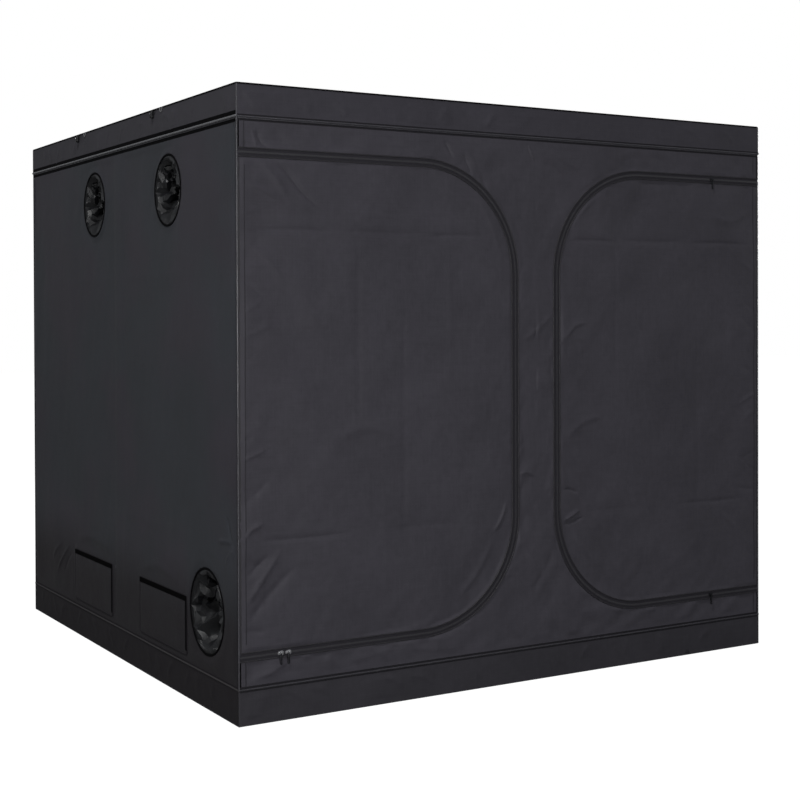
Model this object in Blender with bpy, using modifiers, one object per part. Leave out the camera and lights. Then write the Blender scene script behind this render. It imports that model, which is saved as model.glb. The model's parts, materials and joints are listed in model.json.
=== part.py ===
"""Indoor grow tent: a cloth cover on a tube frame, with two zipped doors, duct ports and vent flaps.

Metres, +Z up. The origin lies on the floor under the middle of the tent, and the doors face -Y.
"""
import math
from typing import NamedTuple

import bmesh
import bpy
from mathutils import Euler, Vector

# Overall size over the cloth bands
TENT_WIDTH = 2.4
TENT_DEPTH = 2.4
TENT_HEIGHT = 2.2

# Cloth
CLOTH = 0.0012
CLEARANCE = 0.0003
ROOF_BAND = 0.117
FLOOR_BAND = 0.127
WELD = 0.00001
OVERRUN = 0.01
ARC_STEPS = 9
TUBE_SIDES = 12
HOLE_SIDES = 32

# Frame tubes and their connectors
POLE_DIAMETER = 0.025
POLE_WALL = 0.0008
COLLAR_WALL = 0.002
COLLAR_REACH = 0.035
STUB_LENGTH = 0.05
CORE_RELIEF = 0.0006
TEE_LENGTH = 0.07

# Hanging bars
BAR_DIAMETER = 0.019
BAR_WALL = 0.0008
BAR_OFFSET = 0.4
HOOK_WIDTH = 0.02
HOOK_PLATE = 0.0015

# Doors and their zips: a drop is a distance down from the roof
DOOR_SILL = 0.236
DOOR_DROP = 0.235
DOOR_CORNER = 0.41
MIDDLE_STRIP = 0.195
MIDDLE_STRIP_SHIFT = 0.0445
TAPE_WIDTH = 0.014
TAPE_THICKNESS = 0.0012
SLIDER_LENGTH = 0.021
SLIDER_NOSE = 0.015
SLIDER_TAIL = 0.010
SLIDER_PLATE = 0.0022
SLIDER_CORNER = 0.003
BRIDGE_WIRE = 0.002
BRIDGE_SPAN = 0.012
BRIDGE_RISE = 0.0036
BRIDGE_SHOULDER = 0.0009
BRIDGE_KNEE = 0.0012
PULL_WIRE = 0.0014
PULL_LENGTH = 0.040
PULL_WIDTH = 0.008
PULL_NECK = 0.0054
PULL_TIP = 0.004
PULL_TIP_RISE = 0.0027
PULL_THICKNESS = 0.0014
PULL_SLOT_LENGTH = 0.012
PULL_SLOT_WIDTH = 0.003
PULL_SLOT_FOOT = 0.004
LEFT_OUTER_SLIDER = 0.157
LEFT_INNER_SLIDER = 0.186
RIGHT_LOWER_SLIDER = 0.271
RIGHT_UPPER_SLIDER = 0.260

# Duct ports: distances along a side wall run back from the front corner
UPPER_PORT_DIAMETER = 0.26
LOWER_PORT_DIAMETER = 0.30
ROOF_PORT_DIAMETER = 0.26
UPPER_PORT_DROP = 0.32
UPPER_PORT_FRONT = 0.645
UPPER_PORT_BACK = 1.5
LOWER_PORT_HEIGHT = 0.348
LOWER_PORT_FRONT = 0.28
ROOF_PORT_SIDE = 0.35
ROOF_PORT_FRONT = 0.767
ROOF_PORT_BACK = 1.708
SLEEVE_FLANGE = 0.015
SLEEVE_MOUTH = 0.028
SLEEVE_REACH = 0.15
SLEEVE_NECK = 0.04
SLEEVE_SAG = 0.022
SLEEVE_SWELL = 0.006
PLEATS = 10
PLEAT_POINTS = 4
PLEAT_DEPTH = 0.012
PLEAT_SHARES = (0, 0, 0.2, 1, 0.5, 0.5)
SAG_SHARES = (0, 0, 0, 0.5, 1, 1)

# Vent windows, their flaps and nets
VENT_WIDTH = 0.46
VENT_HEIGHT = 0.185
VENT_SILL = 0.172
VENT_CORNER = 0.012
VENT_FRONT = 0.715
VENT_BACK = 1.535
FLAP_MARGIN = 0.02
FLAP_CORNER = 0.02
NET_THICKNESS = 0.0008
NET_MARGIN = 0.016

# Spill tray on the floor
TRAY_HEIGHT = 0.1

# Worked out from the sizes above
HALF_WIDTH = TENT_WIDTH / 2
HALF_DEPTH = TENT_DEPTH / 2
BAND_LAP = CLOTH + CLEARANCE
WALL_OUT_X = HALF_WIDTH - BAND_LAP
WALL_OUT_Y = HALF_DEPTH - BAND_LAP
WALL_IN_X = WALL_OUT_X - CLOTH
WALL_IN_Y = WALL_OUT_Y - CLOTH
WALL_FOOT = BAND_LAP
WALL_TOP = TENT_HEIGHT - BAND_LAP
POLE_RADIUS = POLE_DIAMETER / 2
COLLAR_RADIUS = POLE_RADIUS + COLLAR_WALL
STUB_RADIUS = POLE_RADIUS - POLE_WALL - CLEARANCE
RAIL_X = WALL_IN_X - CLEARANCE - COLLAR_RADIUS
RAIL_Y = WALL_IN_Y - CLEARANCE - COLLAR_RADIUS
RAIL_LOW = WALL_FOOT + COLLAR_RADIUS
RAIL_HIGH = WALL_TOP - COLLAR_RADIUS
POLE_START = COLLAR_REACH + CLEARANCE
BAR_RADIUS = BAR_DIAMETER / 2
BAR_DROP = POLE_RADIUS + BAR_RADIUS + CLEARANCE
DOOR_HEAD = TENT_HEIGHT - DOOR_DROP
DOOR_HEIGHT = DOOR_HEAD - DOOR_SILL
HINGE_X = WALL_OUT_X - CLOTH / 2
HINGE_Y = WALL_OUT_Y - CLOTH / 2
LEFT_DOOR_WIDTH = HINGE_X + MIDDLE_STRIP_SHIFT - MIDDLE_STRIP / 2
RIGHT_DOOR_WIDTH = HINGE_X - MIDDLE_STRIP_SHIFT - MIDDLE_STRIP / 2
TAPE_OUT_Y = WALL_OUT_Y + CLEARANCE + TAPE_THICKNESS
UPPER_PORT_HEIGHT = TENT_HEIGHT - UPPER_PORT_DROP
FLAP_WIDTH = VENT_WIDTH + 2 * FLAP_MARGIN
FLAP_HEIGHT = VENT_HEIGHT + 2 * FLAP_MARGIN
FLAP_FOOT = VENT_SILL - FLAP_MARGIN
FLAP_X = WALL_OUT_X + CLEARANCE + CLOTH / 2

# Turns that stand a flat outline up in a wall, with its depth along +X or -Y
FACING_FRONT = Euler((math.radians(90), 0, 0))
FACING_SIDE = Euler((math.radians(90), 0, math.radians(90)))
FACING_OTHER_SIDE = Euler((math.radians(90), 0, math.radians(-90)))
FACING_DOWN = Euler((math.radians(180), 0, 0))


class Finish(NamedTuple):
    """Colour, roughness and metallic value of a piece."""

    colour: tuple[float, float, float]
    roughness: float
    metallic: float


BLACK_CLOTH = Finish((0.031, 0.031, 0.036), 0.72, 0.0)
SLEEVE_CLOTH = Finish((0.02, 0.02, 0.023), 0.35, 0.0)
BLACK_TAPE = Finish((0.02, 0.02, 0.022), 0.6, 0.0)
BLACK_NET = Finish((0.015, 0.015, 0.016), 0.8, 0.0)
SILVER_TRAY = Finish((0.55, 0.56, 0.58), 0.3, 0.6)
WHITE_POLE = Finish((0.74, 0.74, 0.73), 0.4, 0.0)
BLACK_MOULDING = Finish((0.025, 0.025, 0.027), 0.5, 0.0)
BRIGHT_METAL = Finish((0.62, 0.62, 0.63), 0.3, 1.0)
DARK_METAL = Finish((0.05, 0.05, 0.055), 0.4, 1.0)


def new_collection(name):
    """Add an empty collection to the scene."""
    collection = bpy.data.collections.new(name)
    bpy.context.scene.collection.children.link(collection)
    return collection


def clear_scene():
    """Remove every object that the scene holds."""
    for item in list(bpy.data.objects):
        bpy.data.objects.remove(item, do_unlink=True)


clear_scene()
PARTS = new_collection("indoor_grow_tent")
CUTTERS = new_collection("cutters")


def material_for(name, finish):
    """Make the material of one piece."""
    material = bpy.data.materials.new(name)
    material.use_nodes = True
    shader = material.node_tree.nodes["Principled BSDF"]
    shader.inputs["Base Color"].default_value = (*finish.colour, 1)
    shader.inputs["Roughness"].default_value = finish.roughness
    shader.inputs["Metallic"].default_value = finish.metallic
    material.diffuse_color = (*finish.colour, 1)
    return material


def keep(item, name, finish):
    """Name a finished piece, give it its material and move it to the collection of parts."""
    for collection in list(item.users_collection):
        collection.objects.unlink(item)
    PARTS.objects.link(item)
    item.hide_render = False
    item.display_type = "TEXTURED"
    item.name = name
    item.data.name = name
    item.data.materials.clear()
    item.data.materials.append(material_for(name, finish))
    return item


def helper(item):
    """Move a cutter or a shape that is joined to another out of the parts."""
    for collection in list(item.users_collection):
        collection.objects.unlink(item)
    CUTTERS.objects.link(item)
    item.hide_render = True
    item.display_type = "WIRE"
    return item


def object_from(shape, name="shape"):
    """Turn a bmesh into an object of the helper collection."""
    bmesh.ops.recalc_face_normals(shape, faces=shape.faces)
    mesh = bpy.data.meshes.new(name)
    shape.to_mesh(mesh)
    shape.free()
    return helper(bpy.data.objects.new(name, mesh))


def as_mesh(item):
    """Replace an object by its evaluated shape, with the loose caps welded."""
    bpy.context.view_layer.update()
    evaluated = item.evaluated_get(bpy.context.evaluated_depsgraph_get())
    shape = bmesh.new()
    mesh = bpy.data.meshes.new_from_object(evaluated)
    shape.from_mesh(mesh)
    bmesh.ops.remove_doubles(shape, verts=shape.verts, dist=WELD)
    solid = object_from(shape)
    solid.matrix_world = item.matrix_world.copy()
    bpy.data.objects.remove(item, do_unlink=True)
    bpy.data.meshes.remove(mesh)
    return solid


def combine(item, other, operation):
    """Join, cut or intersect an object with a helper by an exact Boolean."""
    modifier = item.modifiers.new(operation.lower(), "BOOLEAN")
    modifier.operation = operation
    modifier.solver = "EXACT"
    modifier.object = other


def rod(start, end, radius, sides=TUBE_SIDES):
    """A solid round rod between two points, as a helper."""
    shape = bmesh.new()
    span = Vector(end) - Vector(start)
    bmesh.ops.create_cone(
        shape, cap_ends=True, segments=sides, radius1=radius, radius2=radius, depth=span.length
    )
    item = object_from(shape)
    item.location = (Vector(start) + Vector(end)) / 2
    item.rotation_euler = span.to_track_quat("Z", "Y").to_euler()
    return item


def tube(start, end, radius, wall):
    """A round tube between two points, as a helper."""
    shape = bmesh.new()
    span = Vector(end) - Vector(start)
    outer = bmesh.ops.create_circle(shape, segments=TUBE_SIDES, radius=radius)["verts"]
    inner = bmesh.ops.create_circle(shape, segments=TUBE_SIDES, radius=radius - wall)["verts"]
    edges = {edge for vert in outer + inner for edge in vert.link_edges}
    ring = bmesh.ops.bridge_loops(shape, edges=list(edges))["faces"]
    grown = bmesh.ops.extrude_face_region(shape, geom=ring, use_keep_orig=True)["geom"]
    moved = [piece for piece in grown if isinstance(piece, bmesh.types.BMVert)]
    bmesh.ops.translate(shape, vec=(0, 0, span.length), verts=moved)
    item = object_from(shape)
    item.location = Vector(start)
    item.rotation_euler = span.to_track_quat("Z", "Y").to_euler()
    return item


def arc(centre, radius, first, last, steps=ARC_STEPS):
    """Points of a round stretch, with its angles in degrees."""
    points = []
    for step in range(steps + 1):
        angle = math.radians(first + (last - first) * step / steps)
        points.append((centre[0] + radius * math.cos(angle), centre[1] + radius * math.sin(angle)))
    return points


def circle(centre, radius, sides=HOLE_SIDES):
    """Points of a full circle."""
    return arc(centre, radius, 0, 360 - 360 / sides, sides - 1)


def rectangle(low, high):
    """Corners of a plain rectangle."""
    return [low, (high[0], low[1]), high, (low[0], high[1])]


def rounded_rectangle(low, high, radius, steps=3):
    """Corners of a rectangle with round corners."""
    return (
        arc((low[0] + radius, low[1] + radius), radius, 180, 270, steps)
        + arc((high[0] - radius, low[1] + radius), radius, 270, 360, steps)
        + arc((high[0] - radius, high[1] - radius), radius, 0, 90, steps)
        + arc((low[0] + radius, high[1] - radius), radius, 90, 180, steps)
    )


def plate(loops, thickness, place, turn):
    """A flat piece from closed loops of points: the first is its outline, the others are holes."""
    curve = bpy.data.curves.new("plate", "CURVE")
    curve.dimensions = "2D"
    curve.fill_mode = "BOTH"
    curve.extrude = thickness / 2
    for loop in loops:
        spline = curve.splines.new("POLY")
        spline.points.add(len(loop) - 1)
        for point, (along, up) in zip(spline.points, loop):
            point.co = (along, up, 0, 1)
        spline.use_cyclic_u = True
    item = bpy.data.objects.new("plate", curve)
    CUTTERS.objects.link(item)
    item.location = place
    item.rotation_euler = turn
    return item


def open_box(low, high, missing, name, finish):
    """A cloth shell over a box, with one face left out and its wall inside the box."""
    shape = bmesh.new()
    bmesh.ops.create_cube(shape, size=1)
    size = Vector(high) - Vector(low)
    bmesh.ops.scale(shape, vec=size, verts=shape.verts)
    bmesh.ops.translate(shape, vec=(Vector(low) + Vector(high)) / 2, verts=shape.verts)
    gone = [face for face in shape.faces if face.normal.dot(Vector(missing)) > 0.5]
    bmesh.ops.delete(shape, geom=gone, context="FACES")
    mesh = bpy.data.meshes.new(name)
    shape.to_mesh(mesh)
    shape.free()
    item = bpy.data.objects.new(name, mesh)
    PARTS.objects.link(item)
    wall = item.modifiers.new("cloth", "SOLIDIFY")
    wall.thickness = CLOTH
    wall.offset = -1
    wall.use_even_offset = True
    return keep(item, name, finish)


def door_path(width, growth):
    """The zipped edge of a door, from the hinge along the sill, up and back along the head.

    The path starts at the hinge line. growth moves it outward from the edge of the door.
    """
    centre_along = width - DOOR_CORNER
    return (
        [(0, -growth)]
        + arc((centre_along, DOOR_CORNER), DOOR_CORNER + growth, -90, 0)
        + arc((centre_along, DOOR_HEIGHT - DOOR_CORNER), DOOR_CORNER + growth, 0, 90)
        + [(0, DOOR_HEIGHT + growth)]
    )


def mirrored(points, side):
    """Turn a path round the hinge line for the right door, where side is -1."""
    return [(side * along, up) for along, up in points]


class DoorSide(NamedTuple):
    """Where a door hangs: side is +1 where it runs toward +X from its hinge."""

    name: str
    side: int
    width: float

    @property
    def hinge_x(self):
        """The hinge line's X."""
        return -self.side * HINGE_X

    def across(self, from_corner):
        """World X of a point at a distance from the tent's corner on this side."""
        return self.side * (from_corner - HALF_WIDTH)


LEFT = DoorSide("left_door", 1, LEFT_DOOR_WIDTH)
RIGHT = DoorSide("right_door", -1, RIGHT_DOOR_WIDTH)


def front_wall():
    """The front panel: a strip over, under and between the door openings."""
    outline = [(-WALL_OUT_X, WALL_FOOT), (WALL_OUT_X, WALL_FOOT)]
    for door, order in ((RIGHT, 1), (LEFT, -1)):
        path = mirrored(door_path(door.width, CLEARANCE), door.side)[::order]
        edge = [(door.hinge_x + along, DOOR_SILL + up) for along, up in path]
        corner = door.across(HALF_WIDTH - WALL_OUT_X)
        first = (corner, edge[0][1])
        last = (corner, edge[-1][1])
        top = [(WALL_OUT_X, WALL_TOP), (-WALL_OUT_X, WALL_TOP)] if door is RIGHT else []
        outline += [first] + edge[1:-1] + [last] + top
    place = (0, -(WALL_OUT_Y + WALL_IN_Y) / 2, 0)
    keep(as_mesh(plate([outline], CLOTH, place, FACING_FRONT)), "front_wall", BLACK_CLOTH)


def back_wall():
    """The back panel, one plain sheet."""
    outline = rectangle((-WALL_OUT_X, WALL_FOOT), (WALL_OUT_X, WALL_TOP))
    place = (0, (WALL_OUT_Y + WALL_IN_Y) / 2, 0)
    keep(as_mesh(plate([outline], CLOTH, place, FACING_FRONT)), "back_wall", BLACK_CLOTH)


def depth_y(from_front):
    """World Y of a distance from the tent's front corner."""
    return from_front - HALF_DEPTH


def vent_outline(from_front):
    """The window of one vent in the plane of a side wall."""
    middle = depth_y(from_front)
    low = (middle - VENT_WIDTH / 2, VENT_SILL)
    high = (middle + VENT_WIDTH / 2, VENT_SILL + VENT_HEIGHT)
    return rounded_rectangle(low, high, VENT_CORNER)


def side_wall(name, side, with_lower_port):
    """One side panel with its port holes and vent windows. side is -1 on the left."""
    end = WALL_IN_Y - CLEARANCE
    loops = [rectangle((-end, WALL_FOOT), (end, WALL_TOP))]
    for from_front in (UPPER_PORT_FRONT, UPPER_PORT_BACK):
        loops.append(circle((depth_y(from_front), UPPER_PORT_HEIGHT), UPPER_PORT_DIAMETER / 2))
    if with_lower_port:
        middle = (depth_y(LOWER_PORT_FRONT), LOWER_PORT_HEIGHT)
        loops.append(circle(middle, LOWER_PORT_DIAMETER / 2))
    loops += [vent_outline(VENT_FRONT), vent_outline(VENT_BACK)]
    place = (side * (WALL_OUT_X + WALL_IN_X) / 2, 0, 0)
    keep(as_mesh(plate(loops, CLOTH, place, FACING_SIDE)), name, BLACK_CLOTH)


def roof_cap():
    """The roof sheet with its turned-down band and two port holes."""
    low = (-HALF_WIDTH, -HALF_DEPTH, TENT_HEIGHT - ROOF_BAND)
    high = (HALF_WIDTH, HALF_DEPTH, TENT_HEIGHT)
    cap = open_box(low, high, (0, 0, -1), "roof_cap", BLACK_CLOTH)
    for from_front in (ROOF_PORT_FRONT, ROOF_PORT_BACK):
        x, y = ROOF_PORT_SIDE - HALF_WIDTH, depth_y(from_front)
        start = (x, y, TENT_HEIGHT - OVERRUN)
        end = (x, y, TENT_HEIGHT + OVERRUN)
        combine(cap, rod(start, end, ROOF_PORT_DIAMETER / 2, HOLE_SIDES), "DIFFERENCE")


def floor_base():
    """The floor sheet with its turned-up band."""
    low = (-HALF_WIDTH, -HALF_DEPTH, 0)
    high = (HALF_WIDTH, HALF_DEPTH, FLOOR_BAND)
    open_box(low, high, (0, 0, 1), "floor_base", BLACK_CLOTH)


def spill_tray():
    """The loose tray that lies on the floor inside the frame."""
    across = RAIL_X - COLLAR_RADIUS - CLEARANCE
    deep = RAIL_Y - COLLAR_RADIUS - CLEARANCE
    foot = CLOTH + CLEARANCE
    open_box((-across, -deep, foot), (across, deep, foot + TRAY_HEIGHT), (0, 0, 1), "spill_tray", SILVER_TRAY)


def door_panel(door):
    """One door, hung on its hinge line, with its half of the zip tape along the free edge."""
    place = (door.hinge_x, -HINGE_Y, DOOR_SILL)
    edge = door_path(door.width, 0)
    panel = as_mesh(plate([mirrored(edge, door.side)], CLOTH, place, FACING_FRONT))
    inner = door_path(door.width, -TAPE_WIDTH)[::-1]
    tape_depth = TAPE_OUT_Y - WALL_OUT_Y + CLOTH / 2
    tape_place = (door.hinge_x, -(TAPE_OUT_Y - tape_depth / 2), DOOR_SILL)
    tape = as_mesh(plate([mirrored(edge + inner, door.side)], tape_depth, tape_place, FACING_FRONT))
    combine(panel, tape, "UNION")
    keep(panel, door.name, BLACK_CLOTH)


def door_zip(door):
    """The half of the zip tape that is sewn to the front wall round a door."""
    inner = door_path(door.width, CLEARANCE)
    outer = door_path(door.width, CLEARANCE + TAPE_WIDTH)[::-1]
    place = (door.hinge_x, -(TAPE_OUT_Y - TAPE_THICKNESS / 2), DOOR_SILL)
    tape = plate([mirrored(inner + outer, door.side)], TAPE_THICKNESS, place, FACING_FRONT)
    keep(as_mesh(tape), f"{door.name}_zip", BLACK_TAPE)


def zip_slider(name, place_x, place_z, finish):
    """A slider on a level run of zip: a tapered plate with an arched bridge. Its pull hangs on it."""
    half, nose, tail = SLIDER_LENGTH / 2, SLIDER_NOSE / 2, SLIDER_TAIL / 2
    outline = [
        (-half, -tail),
        (0, -nose),
        (half - SLIDER_CORNER, -nose),
        (half, -nose + SLIDER_CORNER),
        (half, nose - SLIDER_CORNER),
        (half - SLIDER_CORNER, nose),
        (0, nose),
        (-half, tail),
    ]
    back = TAPE_OUT_Y + CLEARANCE
    body_place = (place_x, -(back + SLIDER_PLATE / 2), place_z)
    body = as_mesh(plate([outline], SLIDER_PLATE, body_place, FACING_FRONT))
    face = back + SLIDER_PLATE
    foot = BRIDGE_SPAN / 2
    shoulder = foot - BRIDGE_SHOULDER
    bar_y = -(face + BRIDGE_RISE)
    knee_y = bar_y + BRIDGE_KNEE
    root_y = -(face - SLIDER_PLATE / 2)
    route = [
        (place_x - foot, root_y, place_z),
        (place_x - foot, knee_y, place_z),
        (place_x - shoulder, bar_y, place_z),
        (place_x + shoulder, bar_y, place_z),
        (place_x + foot, knee_y, place_z),
        (place_x + foot, root_y, place_z),
    ]
    combine(body, as_mesh(wire(route, BRIDGE_WIRE / 2)), "UNION")
    keep(body, name, finish)
    slider_pull(f"{name}_pull", (place_x, bar_y, place_z), finish)


def wire(route, radius):
    """A bent round wire along a route."""
    curve = bpy.data.curves.new("wire", "CURVE")
    curve.dimensions = "3D"
    curve.bevel_depth = radius
    curve.bevel_resolution = 1
    curve.use_fill_caps = True
    spline = curve.splines.new("POLY")
    spline.points.add(len(route) - 1)
    for point, place in zip(spline.points, route):
        point.co = (*place, 1)
    item = bpy.data.objects.new("wire", curve)
    CUTTERS.objects.link(item)
    return item


def slider_pull(name, pivot, finish):
    """A pull that hangs on a slider's bridge by its ring, with its origin on the bridge's axis."""
    ring_radius = BRIDGE_WIRE / 2 + CLEARANCE + PULL_WIRE / 2
    bpy.ops.mesh.primitive_torus_add(
        major_radius=ring_radius,
        minor_radius=PULL_WIRE / 2,
        major_segments=TUBE_SIDES,
        minor_segments=6,
        location=pivot,
        rotation=(0, math.radians(90), 0),
    )
    ring = helper(bpy.context.object)
    top = -ring_radius
    shoulder = top - PULL_WIDTH
    tip_side = PULL_TIP_RISE - PULL_LENGTH
    outline = [
        (-PULL_NECK / 2, top),
        (-PULL_WIDTH / 2, shoulder),
        (-PULL_WIDTH / 2, tip_side),
        (-PULL_TIP / 2, -PULL_LENGTH),
        (PULL_TIP / 2, -PULL_LENGTH),
        (PULL_WIDTH / 2, tip_side),
        (PULL_WIDTH / 2, shoulder),
        (PULL_NECK / 2, top),
    ]
    slot_low = PULL_SLOT_FOOT - PULL_LENGTH
    slot_high = slot_low + PULL_SLOT_LENGTH
    slot = rectangle((-PULL_SLOT_WIDTH / 2, slot_low), (PULL_SLOT_WIDTH / 2, slot_high))
    tab = as_mesh(plate([outline, slot], PULL_THICKNESS, pivot, FACING_FRONT))
    combine(ring, tab, "UNION")
    keep(ring, name, finish)


def duct_sleeve(name, place, turn, diameter, sag):
    """A drawn sleeve: a sewn flange, a short mouth and a pleated cone that ends in a narrow neck.

    Its depth runs along local +Z, and sag lets the neck hang toward local -Y.
    """
    radius = diameter / 2 - CLOTH
    neck_start = SLEEVE_REACH - SLEEVE_MOUTH
    rings = [
        (diameter / 2 + SLEEVE_FLANGE, 0),
        (radius, 0),
        (radius + SLEEVE_SWELL, SLEEVE_MOUTH),
        ((radius * 2 + SLEEVE_NECK) / 3, (SLEEVE_MOUTH + neck_start) / 2),
        (SLEEVE_NECK, neck_start),
        (SLEEVE_NECK, SLEEVE_REACH),
    ]
    shape = bmesh.new()
    count = PLEATS * PLEAT_POINTS
    loops = []
    for (ring_radius, depth), pleat_share, sag_share in zip(rings, PLEAT_SHARES, SAG_SHARES):
        verts = bmesh.ops.create_circle(shape, segments=count, radius=ring_radius)["verts"]
        for step, vert in enumerate(verts):
            wave = math.cos(2 * math.pi * step / PLEAT_POINTS)
            reach = ring_radius + PLEAT_DEPTH * pleat_share * wave
            out = vert.co.normalized() * reach
            vert.co = (out.x, out.y - sag * sag_share, depth)
        loops.append([edge for edge in shape.edges if all(vert in verts for vert in edge.verts)])
    for first, second in zip(loops, loops[1:]):
        bmesh.ops.bridge_loops(shape, edges=first + second)
    item = object_from(shape)
    item.location = place
    item.rotation_euler = turn
    wall = item.modifiers.new("cloth", "SOLIDIFY")
    wall.thickness = CLOTH
    wall.offset = 0
    wall.use_even_offset = True
    keep(item, name, SLEEVE_CLOTH)


def side_sleeves():
    """The sleeves behind the port holes of the two side walls."""
    depth = WALL_IN_X - CLEARANCE - CLOTH / 2
    for prefix, side, turn in (("left", -1, FACING_SIDE), ("right", 1, FACING_OTHER_SIDE)):
        for word, from_front in (("front", UPPER_PORT_FRONT), ("back", UPPER_PORT_BACK)):
            place = (side * depth, depth_y(from_front), UPPER_PORT_HEIGHT)
            duct_sleeve(f"{prefix}_upper_{word}_sleeve", place, turn, UPPER_PORT_DIAMETER, SLEEVE_SAG)
    place = (-depth, depth_y(LOWER_PORT_FRONT), LOWER_PORT_HEIGHT)
    duct_sleeve("left_lower_sleeve", place, FACING_SIDE, LOWER_PORT_DIAMETER, SLEEVE_SAG)


def roof_sleeves():
    """The sleeves that hang under the port holes of the roof."""
    depth = TENT_HEIGHT - CLOTH - CLEARANCE - CLOTH / 2
    for word, from_front in (("front", ROOF_PORT_FRONT), ("back", ROOF_PORT_BACK)):
        place = (ROOF_PORT_SIDE - HALF_WIDTH, depth_y(from_front), depth)
        duct_sleeve(f"roof_{word}_sleeve", place, FACING_DOWN, ROOF_PORT_DIAMETER, 0)


def vent_flaps():
    """The cloth flaps over the vent windows, each hung on its lower edge."""
    outline = (
        arc((FLAP_CORNER - FLAP_WIDTH / 2, FLAP_CORNER), FLAP_CORNER, 180, 270, 4)
        + arc((FLAP_WIDTH / 2 - FLAP_CORNER, FLAP_CORNER), FLAP_CORNER, 270, 360, 4)
        + [(FLAP_WIDTH / 2, FLAP_HEIGHT), (-FLAP_WIDTH / 2, FLAP_HEIGHT)]
    )
    for prefix, side in (("left", -1), ("right", 1)):
        for word, from_front in (("front", VENT_FRONT), ("back", VENT_BACK)):
            place = (side * FLAP_X, depth_y(from_front), FLAP_FOOT)
            flap = as_mesh(plate([outline], CLOTH, place, FACING_SIDE))
            keep(flap, f"{prefix}_{word}_vent_flap", BLACK_CLOTH)


def vent_nets():
    """The strip of net inside each side wall, across both windows."""
    low = (depth_y(VENT_FRONT) - VENT_WIDTH / 2 - NET_MARGIN, VENT_SILL - NET_MARGIN)
    high = (depth_y(VENT_BACK) + VENT_WIDTH / 2 + NET_MARGIN, VENT_SILL + VENT_HEIGHT + NET_MARGIN)
    for prefix, side in (("left", -1), ("right", 1)):
        place = (side * (WALL_IN_X - CLEARANCE - NET_THICKNESS / 2), 0, 0)
        net = as_mesh(plate([rectangle(low, high)], NET_THICKNESS, place, FACING_SIDE))
        keep(net, f"{prefix}_vent_net", BLACK_NET)


def corner_mesh():
    """The mesh of a three-way connector, with its arms along +X, +Y and +Z from the origin."""
    half_core = COLLAR_RADIUS - CORE_RELIEF
    shape = bmesh.new()
    bmesh.ops.create_cube(shape, size=2 * half_core)
    connector = object_from(shape)
    helpers = []
    for axis in ((1, 0, 0), (0, 1, 0), (0, 0, 1)):
        direction = Vector(axis)
        collar = rod((0, 0, 0), direction * COLLAR_REACH, COLLAR_RADIUS)
        stub = rod((0, 0, 0), direction * (COLLAR_REACH + STUB_LENGTH), STUB_RADIUS)
        helpers += [collar, stub]
    for piece in helpers:
        combine(connector, piece, "UNION")
    solid = as_mesh(connector)
    for piece in helpers:
        bpy.data.objects.remove(piece, do_unlink=True)
    mesh = solid.data
    bpy.data.objects.remove(solid, do_unlink=True)
    return mesh


def corner_connectors():
    """The eight three-way connectors, one in each corner of the frame."""
    mesh = corner_mesh()
    corners = (
        ("front_left", -1, -1, 0),
        ("front_right", 1, -1, 90),
        ("back_right", 1, 1, 180),
        ("back_left", -1, 1, 270),
    )
    for word, x_sign, y_sign, turn in corners:
        spin = math.radians(turn)
        low = bpy.data.objects.new("connector", mesh.copy())
        low.location = (x_sign * RAIL_X, y_sign * RAIL_Y, RAIL_LOW)
        low.rotation_euler = (0, 0, spin)
        keep(low, f"bottom_{word}_connector", BLACK_MOULDING)
        high = bpy.data.objects.new("connector", mesh.copy())
        high.location = (x_sign * RAIL_X, y_sign * RAIL_Y, RAIL_HIGH)
        high.rotation_euler = (math.radians(180), 0, spin + math.radians(90))
        keep(high, f"top_{word}_connector", BLACK_MOULDING)


def pole(name, start, end):
    """One frame tube."""
    keep(tube(start, end, POLE_RADIUS, POLE_WALL), name, WHITE_POLE)


def posts():
    """The four corner posts, and the four posts half way along the sides."""
    foot, head = RAIL_LOW + POLE_START, RAIL_HIGH - POLE_START
    for name, x, y in (
        ("front_left_post", -RAIL_X, -RAIL_Y),
        ("front_right_post", RAIL_X, -RAIL_Y),
        ("back_left_post", -RAIL_X, RAIL_Y),
        ("back_right_post", RAIL_X, RAIL_Y),
        ("front_middle_post", MIDDLE_STRIP_SHIFT, -RAIL_Y),
        ("back_middle_post", 0, RAIL_Y),
        ("left_middle_post", -RAIL_X, 0),
        ("right_middle_post", RAIL_X, 0),
    ):
        pole(name, (x, y, foot), (x, y, head))


def rail(name, start, end, tee, branches):
    """A rail with its tee, which has a socket stub for each tube that meets the rail there."""
    start, end, tee = Vector(start), Vector(end), Vector(tee)
    along = (end - start).normalized()
    body = rod(start, end, POLE_RADIUS)
    half = along * TEE_LENGTH / 2
    helpers = [rod(tee - half, tee + half, COLLAR_RADIUS)]
    for branch in branches:
        way = Vector(branch)
        helpers.append(rod(tee, tee + way * COLLAR_REACH, COLLAR_RADIUS - CORE_RELIEF))
        helpers.append(rod(tee, tee + way * (COLLAR_REACH + STUB_LENGTH), STUB_RADIUS))
    for piece in helpers:
        combine(body, piece, "UNION")
    overrun = along * OVERRUN
    bore = rod(start - overrun, end + overrun, POLE_RADIUS - POLE_WALL)
    combine(body, bore, "DIFFERENCE")
    solid = as_mesh(body)
    for piece in helpers + [bore]:
        bpy.data.objects.remove(piece, do_unlink=True)
    keep(solid, name, WHITE_POLE)


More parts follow.
